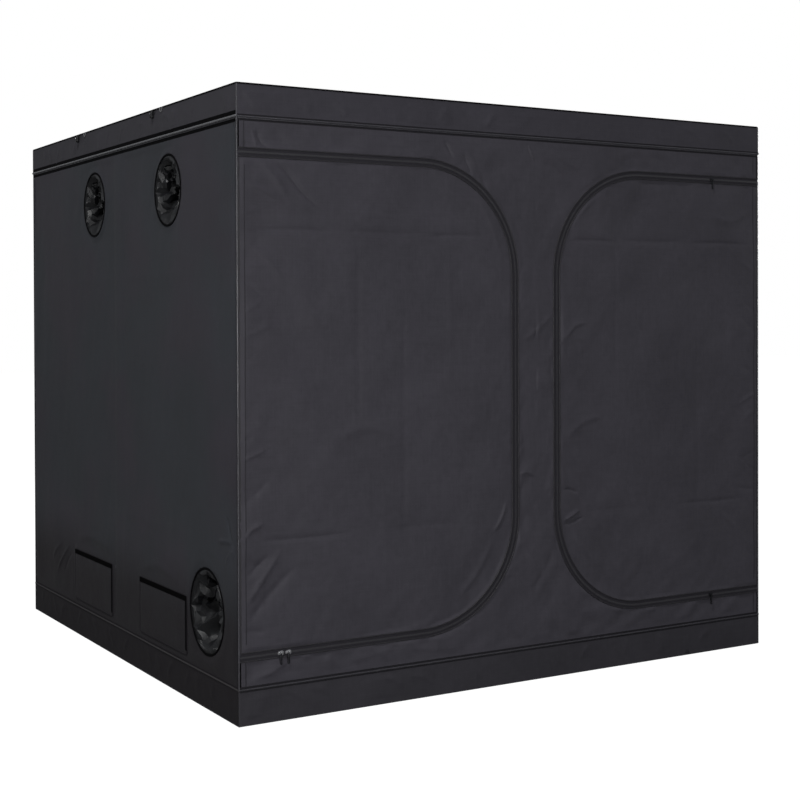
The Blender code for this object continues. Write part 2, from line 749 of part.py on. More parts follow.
def rails():
    """The four rails at the top and the four at the bottom, each with the tee for its middle post."""
    along_x = RAIL_X - POLE_START
    along_y = RAIL_Y - POLE_START
    for word, height, way in (("bottom", RAIL_LOW, (0, 0, 1)), ("top", RAIL_HIGH, (0, 0, -1))):
        for side, y, middle in (("front", -RAIL_Y, MIDDLE_STRIP_SHIFT), ("back", RAIL_Y, 0)):
            ends = (-along_x, y, height), (along_x, y, height)
            rail(f"{word}_{side}_rail", *ends, (middle, y, height), [way])
        for side, x, inward in (("left", -RAIL_X, (1, 0, 0)), ("right", RAIL_X, (-1, 0, 0))):
            branches = [way, inward] if word == "top" else [way]
            ends = (x, -along_y, height), (x, along_y, height)
            rail(f"{word}_{side}_rail", *ends, (x, 0, height), branches)


def roof_beam():
    """The tube across the roof, pushed over the stubs of the side tees."""
    reach = RAIL_X - POLE_START
    pole("roof_beam", (-reach, 0, RAIL_HIGH), (reach, 0, RAIL_HIGH))


def hook_outline(way):
    """A strap bent over a rail at the origin and down to the hanging bar. way is +1 toward +Y."""
    inner = POLE_RADIUS + CLEARANCE
    outer = inner + HOOK_PLATE
    foot = -(BAR_DROP + BAR_RADIUS)
    over = arc((0, 0), outer, 180, 0, 6)
    under = arc((0, 0), inner, 0, 180, 6)
    return mirrored(over + [(outer, foot), (inner, foot)] + under, way)


def hanging_bar(name, x):
    """A bar hooked over the front and back rails, just under the roof beam."""
    height = RAIL_HIGH - BAR_DROP
    seat = RAIL_Y - POLE_RADIUS - CLEARANCE
    reach = seat - HOOK_PLATE / 2
    bar = rod((x, -reach, height), (x, reach, height), BAR_RADIUS)
    for way in (1, -1):
        hook = plate([hook_outline(way)], HOOK_WIDTH, (x, -way * RAIL_Y, RAIL_HIGH), FACING_SIDE)
        combine(bar, as_mesh(hook), "UNION")
    bore = rod((x, -seat - OVERRUN, height), (x, seat + OVERRUN, height), BAR_RADIUS - BAR_WALL)
    combine(bar, bore, "DIFFERENCE")
    keep(as_mesh(bar), name, WHITE_POLE)


def sliders():
    """The four zip sliders: two on the left door's sill, one each on the right door's sill and head."""
    zip_slider("left_door_outer_slider", LEFT.across(LEFT_OUTER_SLIDER), DOOR_SILL, BRIGHT_METAL)
    zip_slider("left_door_inner_slider", LEFT.across(LEFT_INNER_SLIDER), DOOR_SILL, DARK_METAL)
    zip_slider("right_door_lower_slider", RIGHT.across(RIGHT_LOWER_SLIDER), DOOR_SILL, DARK_METAL)
    zip_slider("right_door_upper_slider", RIGHT.across(RIGHT_UPPER_SLIDER), DOOR_HEAD, DARK_METAL)


def main():
    """Build the tent from the frame outward."""
    corner_connectors()
    posts()
    rails()
    roof_beam()
    hanging_bar("left_hanging_bar", -BAR_OFFSET)
    hanging_bar("right_hanging_bar", BAR_OFFSET)
    floor_base()
    roof_cap()
    spill_tray()
    front_wall()
    back_wall()
    side_wall("left_wall", -1, True)
    side_wall("right_wall", 1, False)
    for door in (LEFT, RIGHT):
        door_panel(door)
        door_zip(door)
    sliders()
    side_sleeves()
    roof_sleeves()
    vent_flaps()
    vent_nets()
    for item in PARTS.objects:
        if "sleeve" in item.name:
            item.data.shade_smooth()
        else:
            item.data.shade_flat()


main()
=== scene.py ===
"""Looks of the indoor grow tent: woven cover, zips, duct sleeves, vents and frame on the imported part."""

import json
import logging
import math
from dataclasses import dataclass, field
from enum import Enum
from typing import Callable, Iterable, Optional, Sequence

import bmesh
import bpy
import numpy as np
from mathutils import Matrix, Vector
from mathutils.geometry import delaunay_2d_cdt

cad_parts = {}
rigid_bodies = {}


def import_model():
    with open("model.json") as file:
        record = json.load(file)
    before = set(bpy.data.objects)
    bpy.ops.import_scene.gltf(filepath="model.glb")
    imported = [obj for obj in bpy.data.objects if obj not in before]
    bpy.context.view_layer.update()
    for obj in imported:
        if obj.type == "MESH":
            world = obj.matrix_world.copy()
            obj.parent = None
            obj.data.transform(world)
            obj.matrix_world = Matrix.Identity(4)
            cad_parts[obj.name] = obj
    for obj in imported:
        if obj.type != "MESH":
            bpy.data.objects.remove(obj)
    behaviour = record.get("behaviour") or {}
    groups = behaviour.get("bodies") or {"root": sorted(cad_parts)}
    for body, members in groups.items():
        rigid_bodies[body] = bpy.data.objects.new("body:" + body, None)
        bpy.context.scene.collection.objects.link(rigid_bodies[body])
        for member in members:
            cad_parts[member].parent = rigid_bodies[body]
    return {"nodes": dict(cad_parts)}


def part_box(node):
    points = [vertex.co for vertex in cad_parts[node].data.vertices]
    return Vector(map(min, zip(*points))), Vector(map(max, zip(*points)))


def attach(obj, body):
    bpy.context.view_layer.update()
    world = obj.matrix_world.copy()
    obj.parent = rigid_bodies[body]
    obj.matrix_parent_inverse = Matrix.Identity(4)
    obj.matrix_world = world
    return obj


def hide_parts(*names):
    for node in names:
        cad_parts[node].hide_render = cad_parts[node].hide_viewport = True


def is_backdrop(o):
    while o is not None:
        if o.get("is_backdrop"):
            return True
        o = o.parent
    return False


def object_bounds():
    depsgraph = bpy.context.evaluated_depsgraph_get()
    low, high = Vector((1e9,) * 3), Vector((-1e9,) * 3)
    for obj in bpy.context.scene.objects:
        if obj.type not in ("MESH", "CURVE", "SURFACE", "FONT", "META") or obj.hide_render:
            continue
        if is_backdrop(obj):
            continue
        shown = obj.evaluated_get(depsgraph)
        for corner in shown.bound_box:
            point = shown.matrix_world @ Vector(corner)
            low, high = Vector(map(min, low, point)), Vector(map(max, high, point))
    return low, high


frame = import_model()
CAD_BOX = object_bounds()

logging.basicConfig(level=logging.INFO, format="%(name)s: %(message)s")
LOG = logging.getLogger("tent")

Height = Callable[[np.ndarray, np.ndarray], np.ndarray]
Point = tuple[float, float]

# Sizes in metres, in the frame of the part
HALF = 1.2
TOP = 2.2
CLOTH = 0.0012
WALL = 1.1985
WALL_FOOT = 0.0015
WALL_HEAD = 2.1985
BAND_FOOT = 2.083
FLOOR_BAND = 0.127
HINGE = 1.1979
HINGE_CLEAR = 0.0043
SILL = 0.236
HEAD = 1.965
DOOR_CORNER = 0.41
ZIP_GAP = 0.0005
TAPE = 0.014
POLE_RADIUS = 0.0125
COLLAR_RADIUS = 0.0145
COLLAR_REACH = 0.035
RAIL = 1.1825
RAIL_LOW = 0.016
RAIL_HIGH = 2.184
STRIP_MIDDLE = 0.0445
SLEEVE_LENGTH = 0.25
SLEEVE_DEPTH = 0.146
SLEEVE_MESH = (36, 14)


# Shader nodes as numbers

class Socket:
    """An output in a material's node tree that is used like a number: 1 - a * 0.5."""

    def __init__(self, nodes: "Nodes", output: bpy.types.NodeSocket) -> None:
        self.nodes = nodes
        self.output = output

    def _math(self, operation: str, *terms: object, clamp: bool = False) -> "Socket":
        settings = {"operation": operation, "use_clamp": clamp}
        return self.nodes.make("ShaderNodeMath", settings, dict(enumerate(terms)))

    def __add__(self, other: object) -> "Socket":
        return self._math("ADD", self, other)

    def __sub__(self, other: object) -> "Socket":
        return self._math("SUBTRACT", self, other)

    def __rsub__(self, other: object) -> "Socket":
        return self._math("SUBTRACT", other, self)

    def __mul__(self, other: object) -> "Socket":
        return self._math("MULTIPLY", self, other)

    def __truediv__(self, other: object) -> "Socket":
        return self._math("DIVIDE", self, other)

    def __rtruediv__(self, other: object) -> "Socket":
        return self._math("DIVIDE", other, self)

    def __pow__(self, other: object) -> "Socket":
        return self._math("POWER", self, other)

    def __gt__(self, other: object) -> "Socket":
        return self._math("GREATER_THAN", self, other)

    def __lt__(self, other: object) -> "Socket":
        return self._math("LESS_THAN", self, other)

    __radd__ = __add__
    __rmul__ = __mul__

    def wave(self, period: float, phase: float = 0.0) -> "Socket":
        """Returns a sine between -1 and 1 that repeats each period."""
        return (self * (math.tau / period) + phase)._math("SINE", self * (math.tau / period) + phase)

    def repeat(self, period: float) -> "Socket":
        """Returns the share of each period that has passed, from 0 to 1."""
        return (self / period)._math("FRACT", self / period)

    def step(self, low: float, high: float) -> "Socket":
        """Returns 0 below low and 1 above high, with a smooth rise between."""
        names = {"Value": self, "From Min": low, "From Max": high}
        return self.nodes.make("ShaderNodeMapRange", {"interpolation_type": "SMOOTHSTEP"}, names)


class Nodes:
    """The node tree of one material, written through one node-making method."""

    def __init__(self, material: bpy.types.Material) -> None:
        material.use_nodes = True
        self.tree = material.node_tree
        self.shader = self.tree.nodes["Principled BSDF"]

    def make(self, kind: str, settings: dict = {}, inputs: dict = {}, output: object = 0) -> Socket:
        """Makes a node.

        Args:
            kind: The node's type.
            settings: Its own settings by name.
            inputs: Values or sockets for its inputs, by name or number.
            output: The output that is wanted.

        Returns:
            That output, ready for more sums.
        """
        node = self.tree.nodes.new(kind)
        for name, value in settings.items():
            setattr(node, name, value)
        for name, value in inputs.items():
            if isinstance(value, Socket):
                self.tree.links.new(value.output, node.inputs[name])
            else:
                node.inputs[name].default_value = value
        return Socket(self, node.outputs[output])

    def place(self) -> Socket:
        """Returns the place on the piece, in metres."""
        return self.make("ShaderNodeTexCoord", output="Object")

    def cloth_place(self) -> Socket:
        """Returns the place on the flat cut of the cloth, in metres."""
        return self.make("ShaderNodeTexCoord", output="UV")

    def part(self, vector: Socket, axis: str) -> Socket:
        """Returns one part of a vector, X, Y or Z."""
        return self.make("ShaderNodeSeparateXYZ", {}, {0: vector}, axis)

    def stretch(self, vector: Socket, scale: Sequence[float]) -> Socket:
        """Returns the vector scaled along each axis."""
        return self.make("ShaderNodeVectorMath", {"operation": "MULTIPLY"}, {0: vector, 1: scale})

    def noise(self, vector: Socket, scale: float, detail: float = 2.0, rough: float = 0.5) -> Socket:
        """Returns cloudy noise about 0.5."""
        inputs = {"Vector": vector, "Scale": scale, "Detail": detail, "Roughness": rough}
        return self.make("ShaderNodeTexNoise", {}, inputs)

    def blend(self, share: object, first: object, second: object) -> Socket:
        """Returns a colour between two colours."""
        inputs = {0: share, 6: first, 7: second}
        return self.make("ShaderNodeMix", {"data_type": "RGBA"}, inputs, 2)

    def scaled(self, colour: Sequence[float], factor: Socket) -> Socket:
        """Returns a plain colour made lighter or darker by a factor."""
        inputs = {0: (*colour, 1.0)[:3], 3: factor}
        return self.make("ShaderNodeVectorMath", {"operation": "SCALE"}, inputs)

    def drive(self, **inputs: Socket) -> None:
        """Links sockets to the shader's inputs."""
        for name, socket in inputs.items():
            self.tree.links.new(socket.output, self.shader.inputs[name.replace("_", " ")])

    def bump(self, height: Socket) -> None:
        """Gives the surface a fine relief from heights in metres."""
        inputs = {"Strength": 1.0, "Distance": 1.0, "Height": height}
        self.drive(Normal=self.make("ShaderNodeBump", {}, inputs))


# Finishes

MATERIALS: dict[str, bpy.types.Material] = {}


@dataclass(frozen=True)
class Finish:
    """A plain finish: the numbers that are the same all over.

    Args:
        name: The material's name.
        colour: Base colour, linear.
        rough: Roughness.
        metal: Metallic share.
        shine: Specular level.
        sheen: Weight of the soft fibre sheen.
        coat: Weight of a clear coat.
    """

    name: str
    colour: tuple[float, float, float]
    rough: float = 0.5
    metal: float = 0.0
    shine: float = 0.5
    sheen: float = 0.0
    coat: float = 0.0

    def paint(self, nodes: Nodes) -> None:
        """Adds what varies over the surface: a faint cloudiness and fine grain."""
        place = nodes.place()
        cloud = nodes.noise(place, 9.0)
        nodes.drive(Base_Color=nodes.scaled(self.colour, cloud * 0.3 + 0.85))
        nodes.drive(Roughness=nodes.noise(place, 60.0) * 0.14 + (self.rough - 0.07))
        nodes.bump(nodes.noise(place, 900.0, 1.0) * 0.00003)

    def material(self) -> bpy.types.Material:
        """Returns the finish as a material, made once."""
        if self.name in MATERIALS:
            return MATERIALS[self.name]
        material = MATERIALS[self.name] = bpy.data.materials.new(self.name)
        nodes = Nodes(material)
        values = {
            "Base Color": (*self.colour, 1.0),
            "Roughness": self.rough,
            "Metallic": self.metal,
            "Specular IOR Level": self.shine,
            "Sheen Weight": self.sheen,
            "Sheen Roughness": 0.5,
            "Coat Weight": self.coat,
        }
        for name, value in values.items():
            nodes.shader.inputs[name].default_value = value
        material.diffuse_color = (*self.colour, 1.0)
        self.paint(nodes)
        return material


@dataclass(frozen=True)
class Oxford(Finish):
    """Coated woven cloth: plain weave, slubs in the yarn and a cloudy bloom."""

    yarn: float = 0.0009
    painted_foot_shade: Optional[tuple[float, float, float]] = None
    patch: Optional[tuple[float, float, float]] = None

    def paint(self, nodes: Nodes) -> None:
        """Adds the weave, the slubs, a bloom and, where a foot colour is given, a painted warm shade towards the foot
        of the wall.
        """
        place = nodes.cloth_place()
        across = nodes.part(place, "X")
        up = nodes.part(place, "Y")
        bloom = nodes.noise(place, 3.2, 4.0, 0.62)
        warp = nodes.noise(nodes.stretch(place, (190.0, 6.0, 1.0)), 1.0, 2.0)
        weft = nodes.noise(nodes.stretch(place, (6.0, 190.0, 1.0)), 1.0, 2.0)
        mottle = nodes.noise(place, 42.0, 3.0, 0.6)
        shade = bloom * 0.5 + warp * 0.2 + weft * 0.2 + mottle * 0.3 + 0.4
        colour = nodes.scaled(self.colour, shade)
        if self.patch:
            worn = nodes.noise(place, 1.7, 3.0, 0.5).step(0.42, 0.62) * 0.8
            colour = nodes.blend(worn, colour, nodes.scaled(self.patch, shade))
        # painted shade: towards the foot the cloth turns darker and warmer, standing in for the shade low on a side
        # wall
        if self.painted_foot_shade:
            foot = up.step(0.56, 0.26) * (bloom * 0.5 + 0.7)
            colour = nodes.blend(foot, colour, nodes.scaled(self.painted_foot_shade, shade))
        nodes.drive(Base_Color=colour)
        nodes.drive(Roughness=mottle * 0.16 + bloom * 0.1 + (self.rough - 0.13))
        weave = across.wave(self.yarn) * up.wave(self.yarn)
        slubs = (warp + weft) * 0.00006
        nodes.bump(weave * 0.00003 + slubs + mottle * 0.0003)


@dataclass(frozen=True)
class Foil(Finish):
    """Silver lining film with a pressed diamond pattern and soft crinkles."""

    diamond: float = 0.006

    def paint(self, nodes: Nodes) -> None:
        """Adds the diamonds, the crinkles and a cloudy brightness."""
        place = nodes.cloth_place()
        across = nodes.part(place, "X")
        up = nodes.part(place, "Y")
        rise = (across + up).wave(self.diamond)._math("ABSOLUTE", (across + up).wave(self.diamond))
        fall = (across - up).wave(self.diamond)._math("ABSOLUTE", (across - up).wave(self.diamond))
        crinkle = nodes.noise(place, 26.0, 4.0, 0.6)
        nodes.drive(Base_Color=nodes.scaled(self.colour, crinkle * 0.3 + 0.85))
        nodes.drive(Roughness=crinkle * 0.3 + (self.rough - 0.15))
        nodes.bump((rise + fall) * 0.00012 + crinkle * 0.0025)


@dataclass(frozen=True)
class Ribbon(Finish):
    """Folded tape sewn on with two rows of stitches: u runs along it and v across it."""

    rows: tuple[float, ...] = ()
    thread: float = 1.7

    def paint(self, nodes: Nodes) -> None:
        """Adds the ribs of the tape and its stitches."""
        place = nodes.cloth_place()
        along = nodes.part(place, "X")
        across = nodes.part(place, "Y")
        ribs = across.wave(0.0008)
        wear = nodes.noise(nodes.stretch(place, (30.0, 90.0, 1.0)), 1.0, 3.0)
        shade = wear * 0.5 + 0.75
        height = ribs * 0.00004 + wear * 0.0002
        if self.rows:
            dash = along.repeat(0.0045)
            on = (dash > 0.14) * (dash < 0.86)
            line = 0.0
            for row in self.rows:
                away = (across - row)._math("ABSOLUTE", across - row)
                line = away.step(0.0007, 0.0002) + line
            stitch = on * line
            shade = shade + stitch * (self.thread - 1.0)
            height = height + stitch * 0.0003 - line * 0.0002
        nodes.drive(Base_Color=nodes.scaled(self.colour, shade))
        nodes.drive(Roughness=wear * 0.2 + (self.rough - 0.1))
        nodes.bump(height)


@dataclass(frozen=True)
class Satin(Finish):
    """Thin coated lining cloth of the duct sleeves, with a soft shine and fine crumples."""

    def paint(self, nodes: Nodes) -> None:
        """Adds the fine crumples and the cross weave."""
        place = nodes.place()
        crumple = nodes.noise(place, 55.0, 3.0, 0.6)
        nodes.drive(Base_Color=nodes.scaled(self.colour, nodes.noise(place, 14.0) * 0.6 + 0.7))
        nodes.drive(Roughness=crumple * 0.22 + (self.rough - 0.11))
        nodes.bump(crumple * 0.0004 + nodes.noise(place, 1400.0, 0.0) * 0.00003)


@dataclass(frozen=True)
class Enamel(Finish):
    """Powder coat on steel tube, with fine orange peel and scuffs."""

    def paint(self, nodes: Nodes) -> None:
        """Adds the peel and the scuffs."""
        place = nodes.place()
        scuff = nodes.noise(nodes.stretch(place, (1.0, 1.0, 1.0)), 38.0, 5.0, 0.7).step(0.62, 0.75)
        nodes.drive(Base_Color=nodes.scaled(self.colour, 1.0 - scuff * 0.22))
        nodes.drive(Roughness=scuff * 0.2 + self.rough)
        nodes.bump(nodes.noise(place, 700.0, 1.0) * 0.00006)


@dataclass(frozen=True)
class Metal(Finish):
    """Cast and polished zip metal with fine scratches and a dull film in the hollows."""

    def paint(self, nodes: Nodes) -> None:
        """Adds the scratches and the film."""
        place = nodes.place()
        film = nodes.noise(place, 420.0, 3.0, 0.6)
        scratch = nodes.noise(nodes.stretch(place, (300.0, 3000.0, 3000.0)), 1.0, 2.0)
        nodes.drive(Base_Color=nodes.scaled(self.colour, film * 0.4 + 0.8))
        nodes.drive(Roughness=film * 0.24 + scratch * 0.1 + (self.rough - 0.17))
        nodes.bump(scratch * 0.000015 + film * 0.00004)


WALL_CLOTH = Oxford("woven_cover", (0.0345, 0.0325, 0.0400), 0.60, shine=0.14, sheen=0.03)
# painted shade: the side walls and their flaps get a darker, bluer copy of the front's cloth, so they read as shaded;
# it also has a painted warm shade at its foot and lighter patches at random
SHADED_SIDE_COVER = Oxford("woven_cover_side", (0.0255, 0.0284, 0.0348), 0.56, shine=0.13, sheen=0.03,
                    painted_foot_shade=(0.0080, 0.0062, 0.0086), patch=(0.0300, 0.0262, 0.0352))
BAND_CLOTH = Oxford("woven_band", (0.0310, 0.0292, 0.0362), 0.60, shine=0.14, sheen=0.03)
FOOT_CLOTH = Oxford("woven_foot", (0.0250, 0.0238, 0.0285), 0.60, shine=0.12, sheen=0.02)
# painted shade: a much darker copy of the floor band's cloth for its back and side faces, so they read as shaded
SHADED_FOOT = Oxford("woven_dark_foot", (0.0085, 0.0068, 0.0090), 0.62, shine=0.12, sheen=0.02)
LINING = Foil("silver_lining", (0.54, 0.55, 0.565), 0.40, metal=0.7)
ZIP_TAPE = Ribbon("zip_ribbon", (0.0150, 0.0140, 0.0175), 0.66, shine=0.12)
# dark binding of the port rims and the roof's top welt, and also painted shade: the dark strips beside the roof band's
# piping off the front and the dark lines beside the corner welts
EDGE = Ribbon("dark_binding", (0.0010, 0.0008, 0.0012), 0.70, shine=0.05)
# painted shade: the zip's folded cloth edges and the door hem's groove line, much darker than the cloth they are made
# of
ZIP_RIDGE_PAINTED_SHADE = Ribbon("zip_binding", (0.0125, 0.0116, 0.0142), 0.50, shine=0.3)
# the vent flaps' hem ridges, and also painted shade: the dark strips beside the floor band's piping on the back and
# side faces
FLAP_HEM_AND_PAINTED_SHADE = Ribbon("flap_edge", (0.0150, 0.0132, 0.0160), 0.62, shine=0.12)
SEAM = Ribbon("stitched_seam", (0.0210, 0.0200, 0.0245), 0.60, shine=0.14, rows=(0.004, 0.0135), thread=0.5)
BINDING = Ribbon("folded_binding", (0.0270, 0.0262, 0.0310), 0.52, shine=0.3, rows=(0.0045,), thread=0.6)
PIPING = Ribbon("piping", (0.034, 0.033, 0.039), 0.36, shine=0.5, coat=0.2)
# painted highlight: a glossy piping whose colour is about three times lighter than the cloth, standing in for the
# highlight that lamps put on the roof band's piping off the front
PIPING_PAINTED_HIGHLIGHT = Ribbon("gloss_piping", (0.100, 0.100, 0.108), 0.28, shine=1.0, coat=0.8)
TEETH = Finish("coil_teeth", (0.0310, 0.0300, 0.0340), 0.34, shine=0.6)
SHADE = Ribbon("seam_shade", (0.0105, 0.0098, 0.0120), 0.66, shine=0.1)
# painted highlight: a lighter copy of the binding for the floor band's piping off the front
BINDING_PAINTED_HIGHLIGHT = Ribbon("pale_binding", (0.0340, 0.0315, 0.0330), 0.50, shine=0.3)
SLEEVE = Satin("sleeve_satin", (0.0058, 0.0061, 0.0072), 0.35, shine=0.45)
NET = Finish("net_yarn", (0.014, 0.014, 0.015), 0.6)
HOOK_TAPE = Ribbon("hook_tape", (0.0010, 0.0008, 0.0011), 0.9, shine=0.04, rows=(0.0022, 0.0158))
POLE = Enamel("white_enamel", (0.74, 0.74, 0.73), 0.34)
MOULDING = Finish("moulded_black", (0.007, 0.007, 0.008), 0.46, shine=0.3)
BRIGHT = Metal("bright_zip_metal", (0.72, 0.72, 0.74), 0.24, metal=1.0)
DARK = Metal("dark_zip_metal", (0.045, 0.045, 0.05), 0.36, metal=1.0)
STEEL = Metal("plated_steel", (0.55, 0.56, 0.57), 0.34, metal=1.0)
CORD = Ribbon("drawcord", (0.004, 0.004, 0.0045), 0.7, shine=0.1)
PALE_CORD = Ribbon("pale_cord", (0.16, 0.16, 0.165), 0.7)


# Flat places and lines in them

class Facing(Enum):
    """The way that a flat panel looks, as its own across and up directions."""

    FRONT = ((1, 0, 0), (0, 0, 1))
    BACK = ((-1, 0, 0), (0, 0, 1))
    LEFT = ((0, -1, 0), (0, 0, 1))
    RIGHT = ((0, 1, 0), (0, 0, 1))
    ROOF = ((1, 0, 0), (0, 1, 0))

    def matrix(self, distance: float) -> Matrix:
        """Returns the matrix from (across, up, out) to the frame, at a distance from the origin."""
        across, up = (Vector(way) for way in self.value)
        out = across.cross(up)
        turn = Matrix((across, up, out)).transposed().to_4x4()
        return Matrix.Translation(out * distance) @ turn


SIDES = (Facing.FRONT, Facing.RIGHT, Facing.BACK, Facing.LEFT)


class Route:
    """A line in a panel's plane, with the distance along it and beside it."""

    def __init__(self, points: Iterable[Point], closed: bool = False) -> None:
        self.points = np.array(list(points), float)
        self.closed = closed

    @classmethod
    def box(cls, low: Point, high: Point, corner: float = 0.0, steps: int = 8) -> "Route":
        """Returns a rectangle with rounded corners, counterclockwise."""
        (left, foot), (right, head) = low, high
        if not corner:
            return cls([(left, foot), (right, foot), (right, head), (left, head)], True)
        points = []
        for u, v, start in (
            (right - corner, foot + corner, -90),
            (right - corner, head - corner, 0),
            (left + corner, head - corner, 90),
            (left + corner, foot + corner, 180),
        ):
            points += arc((u, v), corner, start, start + 90, steps)
        return cls(points, True)

    @classmethod
    def ring(cls, centre: Point, radius: float, steps: int = 72) -> "Route":
        """Returns a circle, counterclockwise."""
        return cls(arc(centre, radius, 0, 360, steps)[:-1], True)

    def ends(self) -> Iterable[tuple[np.ndarray, np.ndarray]]:
        """Yields the two ends of each stretch."""
        after = np.roll(self.points, -1, 0) if self.closed else self.points[1:]
        return zip(self.points, after)

    def dense(self, pitch: float) -> "Route":
        """Returns the same line with points no further apart than pitch."""
        points = []
        for start, end in self.ends():
            count = max(1, math.ceil(np.hypot(*(end - start)) / pitch))
            points += [start + (end - start) * i / count for i in range(count)]
        if not self.closed:
            points.append(self.points[-1])
        return Route(points, self.closed)

    def normals(self) -> np.ndarray:
        """Returns the mitred direction to the left of the line at each point."""
        after = np.roll(self.points, -1, 0) - self.points
        before = self.points - np.roll(self.points, 1, 0)
        if not self.closed:
            after[-1] = before[-1]
            before[0] = after[0]
        left = [np.stack((-way[:, 1], way[:, 0]), 1) for way in (before, after)]
        left = [way / np.linalg.norm(way, axis=1)[:, None] for way in left]
        middle = left[0] + left[1]
        return middle * 2 / (middle**2).sum(1)[:, None]

    def beside(self, distance: float) -> "Route":
        """Returns the line moved to its left."""
        return Route(self.points + self.normals() * distance, self.closed)

    def lengths(self) -> np.ndarray:
        """Returns the distance from the start to each point."""
        steps = [np.hypot(*(end - start)) for start, end in self.ends()]
        return np.concatenate(([0.0], np.cumsum(steps)))[: len(self.points) + self.closed]

    def measure(self, u: np.ndarray, v: np.ndarray) -> tuple[np.ndarray, np.ndarray]:
        """Returns how far along the line the nearest place lies, and how far to its left."""
        best = np.full(u.shape, np.inf)
        along = np.zeros(u.shape)
        side = np.ones(u.shape)
        start = 0.0
        for (u0, v0), (u1, v1) in self.ends():
            du, dv = u1 - u0, v1 - v0
            length = math.hypot(du, dv)
            share = np.clip(((u - u0) * du + (v - v0) * dv) / length**2, 0, 1)
            away_u = u - u0 - share * du
            away_v = v - v0 - share * dv
            square = away_u**2 + away_v**2
            near = square < best
            best = np.where(near, square, best)
            along = np.where(near, start + share * length, along)
            side = np.where(near, np.where(du * away_v - dv * away_u < 0, -1.0, 1.0), side)
            start += length
        return along, side * np.sqrt(best)


def arc(centre: Point, radius: float, start: float, end: float, steps: int) -> list[Point]:
    """Returns points on an arc between two angles in degrees."""
    angles = np.radians(np.linspace(start, end, steps + 1))
    return [(centre[0] + radius * math.cos(a), centre[1] + radius * math.sin(a)) for a in angles]


def within(loops: Sequence[Route], u: np.ndarray, v: np.ndarray) -> np.ndarray:
    """Returns which places lie inside the first loop and outside the others."""
    odd = np.zeros(u.shape, bool)
    for loop in loops:
        for (u0, v0), (u1, v1) in loop.ends():
            if v0 != v1:
                crosses = (v0 > v) != (v1 > v)
                odd ^= crosses & (u < (u1 - u0) * (v - v0) / (v1 - v0) + u0)
    return odd


# Relief of cloth

def noise(u: np.ndarray, v: np.ndarray, seed: int) -> np.ndarray:
    """Returns smooth random heights between -1 and 1 with one wave in about two units."""
    table = np.random.default_rng(seed).uniform(-1, 1, (64, 64))
    low_u, low_v = np.floor(u).astype(int), np.floor(v).astype(int)
    share_u, share_v = u - low_u, v - low_v
    share_u = share_u**3 * (share_u * (share_u * 6 - 15) + 10)
    share_v = share_v**3 * (share_v * (share_v * 6 - 15) + 10)
    height = 0.0
    for du in (0, 1):
        for dv in (0, 1):
            weight = (share_u if du else 1 - share_u) * (share_v if dv else 1 - share_v)
            height = height + weight * table[(low_u + du) % 64, (low_v + dv) % 64]
    return height


def rise(x: np.ndarray, low: float, high: float) -> np.ndarray:
    """Returns 0 below low and 1 above high, with a smooth rise between."""
    share = np.clip((x - low) / (high - low), 0, 1)
    return share * share * (3 - 2 * share)


def drape(long: float, wide: float, height: float, seed: int, turn: float = 0.0) -> Height:
    """Returns long soft folds: their length, width and height, turned from upright in degrees."""
    c, s = math.cos(math.radians(turn)), math.sin(math.radians(turn))

    def relief(u: np.ndarray, v: np.ndarray) -> np.ndarray:
        return height * noise((u * c + v * s) / wide + 9, (v * c - u * s) / long + 9, seed)

    return relief


class Fold:
    """A fold line that bends through several places and fades at its ends.

    Args:
        places: Where it runs.
        width: Half its width.
        height: Its height, negative for a valley.
        lean: How far its two sides differ.
    """

    def __init__(self, places: Sequence[Point], width: float, height: float, lean: float = 0.6) -> None:
        knots = np.array([places[0], *places, places[-1]], float)
        share = np.linspace(0, 1, 6)[:-1, None] if len(places) > 2 else np.zeros((1, 1))
        points = []
        for a, b, c, d in zip(knots, knots[1:], knots[2:], knots[3:]):
            points.append(b + share * (c - a) / 2 + share**2 * (2 * a - 5 * b + 4 * c - d) / 2
                          + share**3 * (3 * b - a - 3 * c + d) / 2)
        self.line = Route(np.vstack((*points, knots[-1:])))
        self.width, self.height, self.lean = width, height * 1.25, lean

    def __call__(self, u: np.ndarray, v: np.ndarray) -> np.ndarray:
        """Returns the fold's heights at places."""
        (left, foot), (right, head) = self.line.points.min(0), self.line.points.max(0)
        room = 3.2 * self.width
        near = (u > left - room) & (u < right + room) & (v > foot - room) & (v < head + room)
        heights = np.zeros(u.shape)
        if near.any():
            along, side = self.line.measure(u[near], v[near])
            length = self.line.lengths()[-1]
            share = side / self.width
            fade = rise(along, 0, length * 0.3) * rise(length - along, 0, length * 0.3)
            heights[near] = self.height * fade * (1 + self.lean * np.tanh(share)) * np.exp(-np.abs(share) ** 1.4)
        return heights

    def rows(self) -> np.ndarray:
        """Returns the mesh places that the fold needs, row by row beside its line."""
        line = self.line.dense(2.2 * self.width)
        return np.vstack([line.beside(self.width * s).points for s in (-1.7, -1.0, -0.5, 0, 0.5, 1.0, 1.7)])


def crease(start: Point, end: Point, width: float, height: float, lean: float = 0.0) -> Fold:
    """Returns a straight fold line between two places."""
    return Fold((start, end), width, height, lean)


